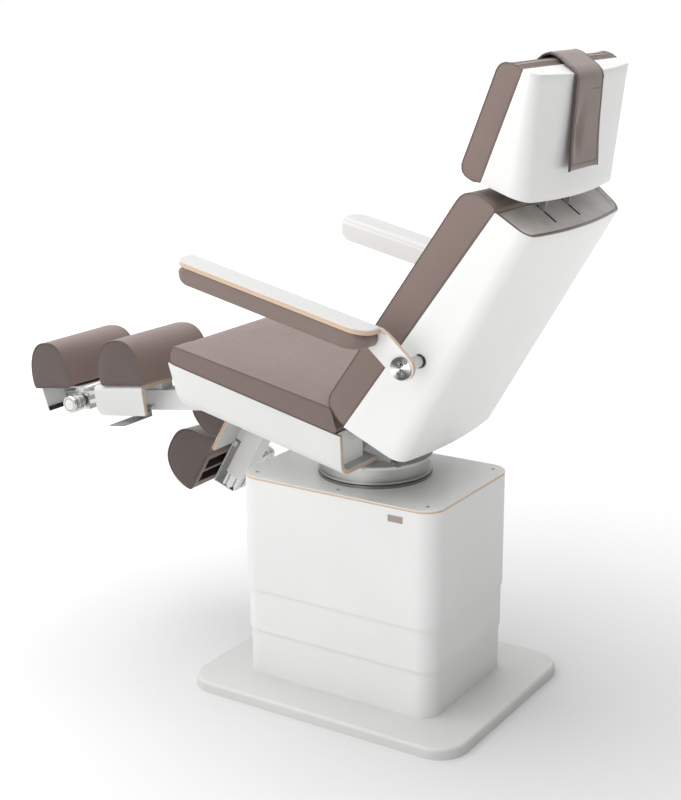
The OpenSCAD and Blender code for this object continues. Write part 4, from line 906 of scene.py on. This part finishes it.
def finish_shell(piece, node, bevel):
    board(piece, PLY, bevel)
    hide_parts(node)


def back_shell_piece():
    """The back's shell; its lower rim rises towards the rear."""
    rows, verts = 24, []
    deep_low, deep_high, rise = 168, 99, 17
    for i in range(rows):
        share = i / (rows - 1)
        for x, y in u_section(HALF_W, deep_low + (deep_high - deep_low) * share, 11, 46, 12):
            verts.append((x, y, BACK_LEN * share + rise * (1 - share) * y / deep_low))
    columns = len(verts) // rows
    piece = new_piece("back_laminate_shell", verts, grid_faces(rows, columns), BACK, BACK_LAMINATE, "back")
    finish_shell(piece, "back_shell", 1.3)


def head_shell_piece():
    """The headrest's shell, closed by a top panel of strips from the rear edge to the front line."""
    rows, strips, verts = 16, 5, []
    deep_low, deep_high = 118, 36
    for i in range(rows):
        share = i / (rows - 1)
        deep = deep_low + (deep_high - deep_low) * share
        section = u_section(HEAD_W / 2, deep, 3, 52 * (1 - 0.5 * share), 16)
        verts += [(x, y, HEAD_LEN * share) for x, y in section]
    for j in range(1, strips + 1):
        verts += [(x, y * (1 - j / strips), HEAD_LEN) for x, y in section]
    faces = grid_faces(rows + strips, len(section))
    piece = new_piece("headrest_laminate_shell", verts, faces, HEAD, LAMINATE, "headrest")
    with edited(piece) as bm:
        bmesh.ops.remove_doubles(bm, verts=bm.verts, dist=0.02 * MM)
        bmesh.ops.recalc_face_normals(bm, faces=bm.faces)
    finish_shell(piece, "headrest_shell", 2.4)


# Where the seat shell's two notches end: the share of its length, and y
KNEE_NOTCH, TURN_NOTCH = (0.338, -372.0), (0.7525, -122.0)
KNEE_HALF, TURN_HALF, FLAT_HALF = 215, 118, 244


def seat_floor_y(share, front, rear):
    """Where a station crosses the shell's flat underside, so that rows end at the notches."""
    knots = ((0.0, front), KNEE_NOTCH, TURN_NOTCH, (1.0, rear))
    for (share_0, y_0), (share_1, y_1) in zip(knots, knots[1:]):
        if share <= share_1:
            return y_0 + (y_1 - y_0) * (share - share_0) / (share_1 - share_0)


def seat_shell_piece():
    """U-shaped channel with slanting ends, a notch for the knees and one over the turntable."""
    r, h = 33.0, SEAT_WALL
    profile = [(HALF_W, z) for z in (0, -15, -30, -45)]
    profile += arc_points(HALF_W - r, r - h, r, 0, -90, 10)
    profile += [(x, -h) for x in (230, 215, 180, 148, 118, 80, 40, 0)]
    profile += [(-x, z) for x, z in profile[-2::-1]]
    stations = [0.0, 0.12, 0.24, KNEE_NOTCH[0], 0.45, 0.56, 0.66, TURN_NOTCH[0], 0.83, 0.92, 1.0]
    lowest = -h + 0.01
    verts = []
    for share in stations:
        for x, z in profile:
            front = -SEAT_LEN + SEAT_FRONT_SLANT * (-z / h)
            rear = SEAT_REAR_SLANT * (-z / h)
            y = front + (rear - front) * share
            if abs(x) <= FLAT_HALF and z <= lowest:
                y = seat_floor_y(share, front, rear)
            verts.append((x, y, z))
    skip = set()
    for row, share in enumerate(stations[:-1]):
        for c, ((x0, z0), (x1, z1)) in enumerate(zip(profile, profile[1:])):
            x = abs(x0 + x1) / 2
            notch_half = KNEE_HALF if share < KNEE_NOTCH[0] else TURN_HALF if share >= TURN_NOTCH[0] else 0
            if max(z0, z1) <= lowest and x < notch_half:
                skip.add((row, c))
    piece = new_piece("seat_laminate_shell", verts, grid_faces(len(stations), len(profile), skip), SEAT,
                      SEAT_LAMINATE_SHADED, "seat")
    middle = SEAT @ (Vector((0, -300, -40)) * MM)
    with edited(piece) as bm:
        bmesh.ops.delete(bm, geom=[v for v in bm.verts if not v.link_faces], context="VERTS")
        bmesh.ops.recalc_face_normals(bm, faces=bm.faces)
        outer = bm.faces[:][0]
        if (outer.calc_center_median() - middle).dot(outer.normal) < 0:
            bmesh.ops.reverse_faces(bm, faces=bm.faces)
    finish_shell(piece, "seat_shell", 1.2)


def seat_cheek(side):
    """White board that closes a corner of the seat shell's rear end, a little way in from the rim."""
    outer, inner, top, low, r, inwards = HALF_W - PLY - 0.8, 222.0, -3, -92.0, 24.0, 21
    rows, columns = 20, 12
    verts = []
    for i in range(rows + 1):
        z = top + (low - top) * i / rows
        edge = outer - corner_inset(z - low, r)
        start = inner - 74 * smooth_step((-8 - z) / 5)
        y = SEAT_REAR_SLANT * (-z / SEAT_WALL) - inwards
        verts += [(start + (edge - start) * k / columns, y, z) for k in range(columns + 1)]
    piece = new_piece("seat_cheek_" + side, verts, grid_faces(rows + 1, columns + 1), SEAT, LAMINATE, "seat",
                      side == "right")
    board(piece, 6.0, 0.8)


# ---- strap

STRAP_ROWS, STRAP_COLUMNS = 64, 18


def strap_path():
    """Middle line of the strap in head space, as (y, z), from its hidden front end over the top and down."""
    t, n = 62.0, HEAD_LEN
    line = [(-t - 13, n * 0.76), (-t - 13.5, n * 0.84), (-t - 9, n * 0.93), (-t + 1, n * 0.99)]
    line += [(-t + 14, n + 6), (-t + 30, n + 9), (-12, n + 8.5), (12, n + 6.5), (34, n + 5), (50, n + 0.5)]
    line += [(60.5, n - 10), (68, n * 0.88), (81, n * 0.74), (95, n * 0.58), (108.5, n * 0.42)]
    return line + [(125, n * 0.245)]


def strap_grid():
    """The strap's middle surface, as rows of (x, y, z, way out) in head space.

    Towards its rear end it runs to the near side and widens, has a valley, and its edges curl out.
    """
    path = resample(strap_path(), STRAP_ROWS)
    grid = []
    for i, (y, z) in enumerate(path):
        a, b = path[max(i - 1, 0)], path[min(i + 1, STRAP_ROWS)]
        along = Vector((b[0] - a[0], b[1] - a[1])).normalized()
        out = Vector((-along.y, along.x))
        share = i / STRAP_ROWS
        end = smooth_step((share - 0.6) / 0.4)
        middle = -32 + 58 * smooth_step((share - 0.18) / 0.34)
        deep = 11 * sin(pi * smooth_step((share - 0.56) / 0.42))
        row = []
        for k in range(STRAP_COLUMNS + 1):
            u = 2 * k / STRAP_COLUMNS - 1
            half = 75 + 7 * end * (1 if u > 0 else 0.3)
            puff, curl = 1.6 * (1 - u ** 4), 5.5 * end ** 2 * abs(u) ** 3
            lift = puff + curl - deep * exp(-((u - 0.5) / 0.2) ** 2)
            row.append((u * half + middle, y + out.x * lift, z + out.y * lift, out))
        grid.append(row)
    return grid


def strap_faces():
    """Two layers of quads, joined by a band round their outline."""
    rows, columns = STRAP_ROWS, STRAP_COLUMNS
    width, faces = columns + 1, []
    size = (rows + 1) * width
    for i in range(rows):
        for k in range(columns):
            a = i * width + k
            faces.append((a, a + 1, a + width + 1, a + width))
            faces.append((size + a, size + a + width, size + a + width + 1, size + a + 1))
    edge = list(range(width)) + [i * width + columns for i in range(1, rows + 1)]
    edge += [rows * width + k for k in range(columns - 1, -1, -1)]
    edge += [i * width for i in range(rows - 1, 0, -1)]
    faces += [(a, size + a, size + b, b) for a, b in zip(edge, edge[1:] + edge[:1])]
    return faces


def strap_piece():
    rows, columns, half_t, edge_share = STRAP_ROWS, STRAP_COLUMNS, 2.3, 0.72
    grid, verts = strap_grid(), []
    for layer in (half_t, -half_t):
        for row in grid:
            for k, (x, y, z, out) in enumerate(row):
                lift = layer * (1 if abs(2 * k / columns - 1) < 0.93 else edge_share)
                verts.append((x, y + out.x * lift, z + out.y * lift))
    piece = new_piece("strap_leather", verts, strap_faces(), HEAD, STRAP, "headrest")
    face_outwards(piece)
    subdivide(piece)
    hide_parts("neck_strap")

    def line(name, places, radius=0.7, material=THREAD, lift=2.5, sides=6):
        """A thread or bead over the grid's places, lifted off its middle surface."""
        path = []
        for i, k in places:
            x, y, z, out = grid[i][k]
            path.append(HEAD @ (Vector((x, y + out.x * lift, z + out.y * lift)) * MM))
        tube(name, path, radius, material, "headrest", sides=sides)

    for n, k in enumerate((1, columns - 1)):
        line("strap_hem_%d" % n, [(i, k) for i in range(2, rows - 1)])
    line("strap_end_hem", [(rows - 2, k) for k in range(1, columns)])
    line("strap_cross_seam", [(int(rows * 0.55), k) for k in range(1, 8)])
    for n, (k, radius, material) in enumerate(((columns, 3.0, DARK_EDGE), (0, 1.9, SEAM))):
        line("strap_edge_bead_%d" % n, [(i, k) for i in range(rows + 1)], radius, material, 0.0, 8)


# ---- stage

def camera():
    """The photograph's camera, fitted to its 681 x 800 frame; angles in degrees, place in metres."""
    azimuth, elevation, roll = (radians(v) for v in (122.72, 15.99, -0.31))
    place = Vector((3.34285, 2.04754, 1.92425))
    level = cos(elevation)
    back = Vector((sin(azimuth) * level, -cos(azimuth) * level, sin(elevation)))
    right = Vector((cos(azimuth), sin(azimuth), 0))
    up = back.cross(right)
    right, up = (right * cos(roll) + up * sin(roll), up * cos(roll) - right * sin(roll))
    data = bpy.data.cameras.new("camera")
    data.lens = 68.15
    data.shift_x = -0.0064
    data.shift_y = 0.00575
    data.clip_end = 60
    made = add_object("camera", data)
    made.matrix_world = Matrix.Translation(place) @ Matrix((right, up, back)).transposed().to_4x4()
    bpy.context.scene.camera = made


def light(name, place, aim, size, power):
    data = bpy.data.lights.new(name, "AREA")
    data.shape = "RECTANGLE"
    data.size = data.size_y = size
    data.energy = power
    made = add_object(name, data)
    made.location = place
    made.rotation_euler = (Vector(aim) - Vector(place)).to_track_quat("-Z", "Y").to_euler()


def grey(value):
    return (value, value, value)


def floor():
    """A white floor, paler away from the chair, where less of the lamps' light falls."""
    corners = [(24 * x, 24 * y, 0) for x, y in ((-1, -1), (1, -1), (1, 1), (-1, 1))]
    data = bpy.data.meshes.new("floor")
    data.from_pydata(corners, [], [(0, 1, 2, 3)])
    made = add_object("floor", data)
    f = Finish("floor_paint", rough=0.75)
    far = f.vector_calc("LENGTH", f.coords)
    cloud = f.ramp(f.noise(1.5, 2), [(0.3, grey(0.985)), (0.7, grey(1.0))])
    near = f.ramp(f.span(far, 0, 1, 0.6, 4.0), [(0.0, grey(0.70)), (1.0, grey(0.97))])
    f.colour(f.mix(1.0, near, cloud, "MULTIPLY"))
    f.link(f.span(far, 0.0, 0.34, 1.0, 5.2), f.shader.inputs["Emission Strength"])
    data.materials.append(f.material)


def backdrop():
    """Light from all round, with a darker side behind the chair's back; seen directly, it is all white."""
    world = bpy.data.worlds.new("studio")
    world.use_nodes = True
    nodes, link = world.node_tree.nodes, world.node_tree.links.new
    sky = nodes["Background"]
    split = nodes.new("ShaderNodeSeparateXYZ")
    link(nodes.new("ShaderNodeTexCoord").outputs["Generated"], split.inputs[0])
    shade_ramp = nodes.new("ShaderNodeValToRGB")
    white, dark = shade_ramp.color_ramp.elements
    white.position, white.color = 0.06, (1, 1, 1, 1)
    dark.position, dark.color = 0.72, (0.31, 0.31, 0.305, 1)
    link(split.outputs["Y"], shade_ramp.inputs["Fac"])
    link(shade_ramp.outputs["Color"], sky.inputs["Color"])
    plain = nodes.new("ShaderNodeBackground")
    plain.inputs["Color"].default_value = (1, 1, 1, 1)
    choice = nodes.new("ShaderNodeMixShader")
    link(nodes.new("ShaderNodeLightPath").outputs["Is Camera Ray"], choice.inputs[0])
    link(sky.outputs[0], choice.inputs[1])
    link(plain.outputs[0], choice.inputs[2])
    link(choice.outputs[0], nodes["World Output"].inputs["Surface"])
    bpy.context.scene.world = world


def studio():
    floor()
    backdrop()
    bpy.context.scene.view_settings.view_transform = "Standard"
    light("key", (4.2, 0.1, 2.0), (0, 0.2, 1.0), 2.2, 24)
    light("top", (0.5, -1.2, 4.3), (0, 0, 0.8), 4.5, 140)


# ---- the chair

FILLING_FRAMES = 20
HEEL_STEP = (-358, -29.2)


def fill_pads():
    for made in PADS:
        made.stuff()
    for step in range(1, FILLING_FRAMES + 1):
        bpy.context.scene.frame_set(step)
    for made in PADS:
        made.settle()
    bpy.context.scene.frame_set(1)


camera()
studio()
finish_plain_nodes()
finish_top_plate()
finish_cap()
for side in SIDES:
    finish_armrest(side)
    finish_leg_board(side)
    finish_knob(side)
    finish_disc(side)

seat_pad()
back_pad()
head_pad()
for side in SIDES:
    leg_pad("calf", LEG[side], side, "leg_", (-306, -147), (-294, -112), 128, -30)
    heel = leg_pad("heel", FOOT[side], side, "foot_", (-491, -348), (-497, -306), 132, -37.5, HEEL_STEP)
    heel.pockets = side
    arm_pad(side)
fill_pads()
for made in PADS:
    made.finish()

back_shell_piece()
head_shell_piece()
seat_shell_piece()
strap_piece()
for side in SIDES:
    seat_cheek(side)
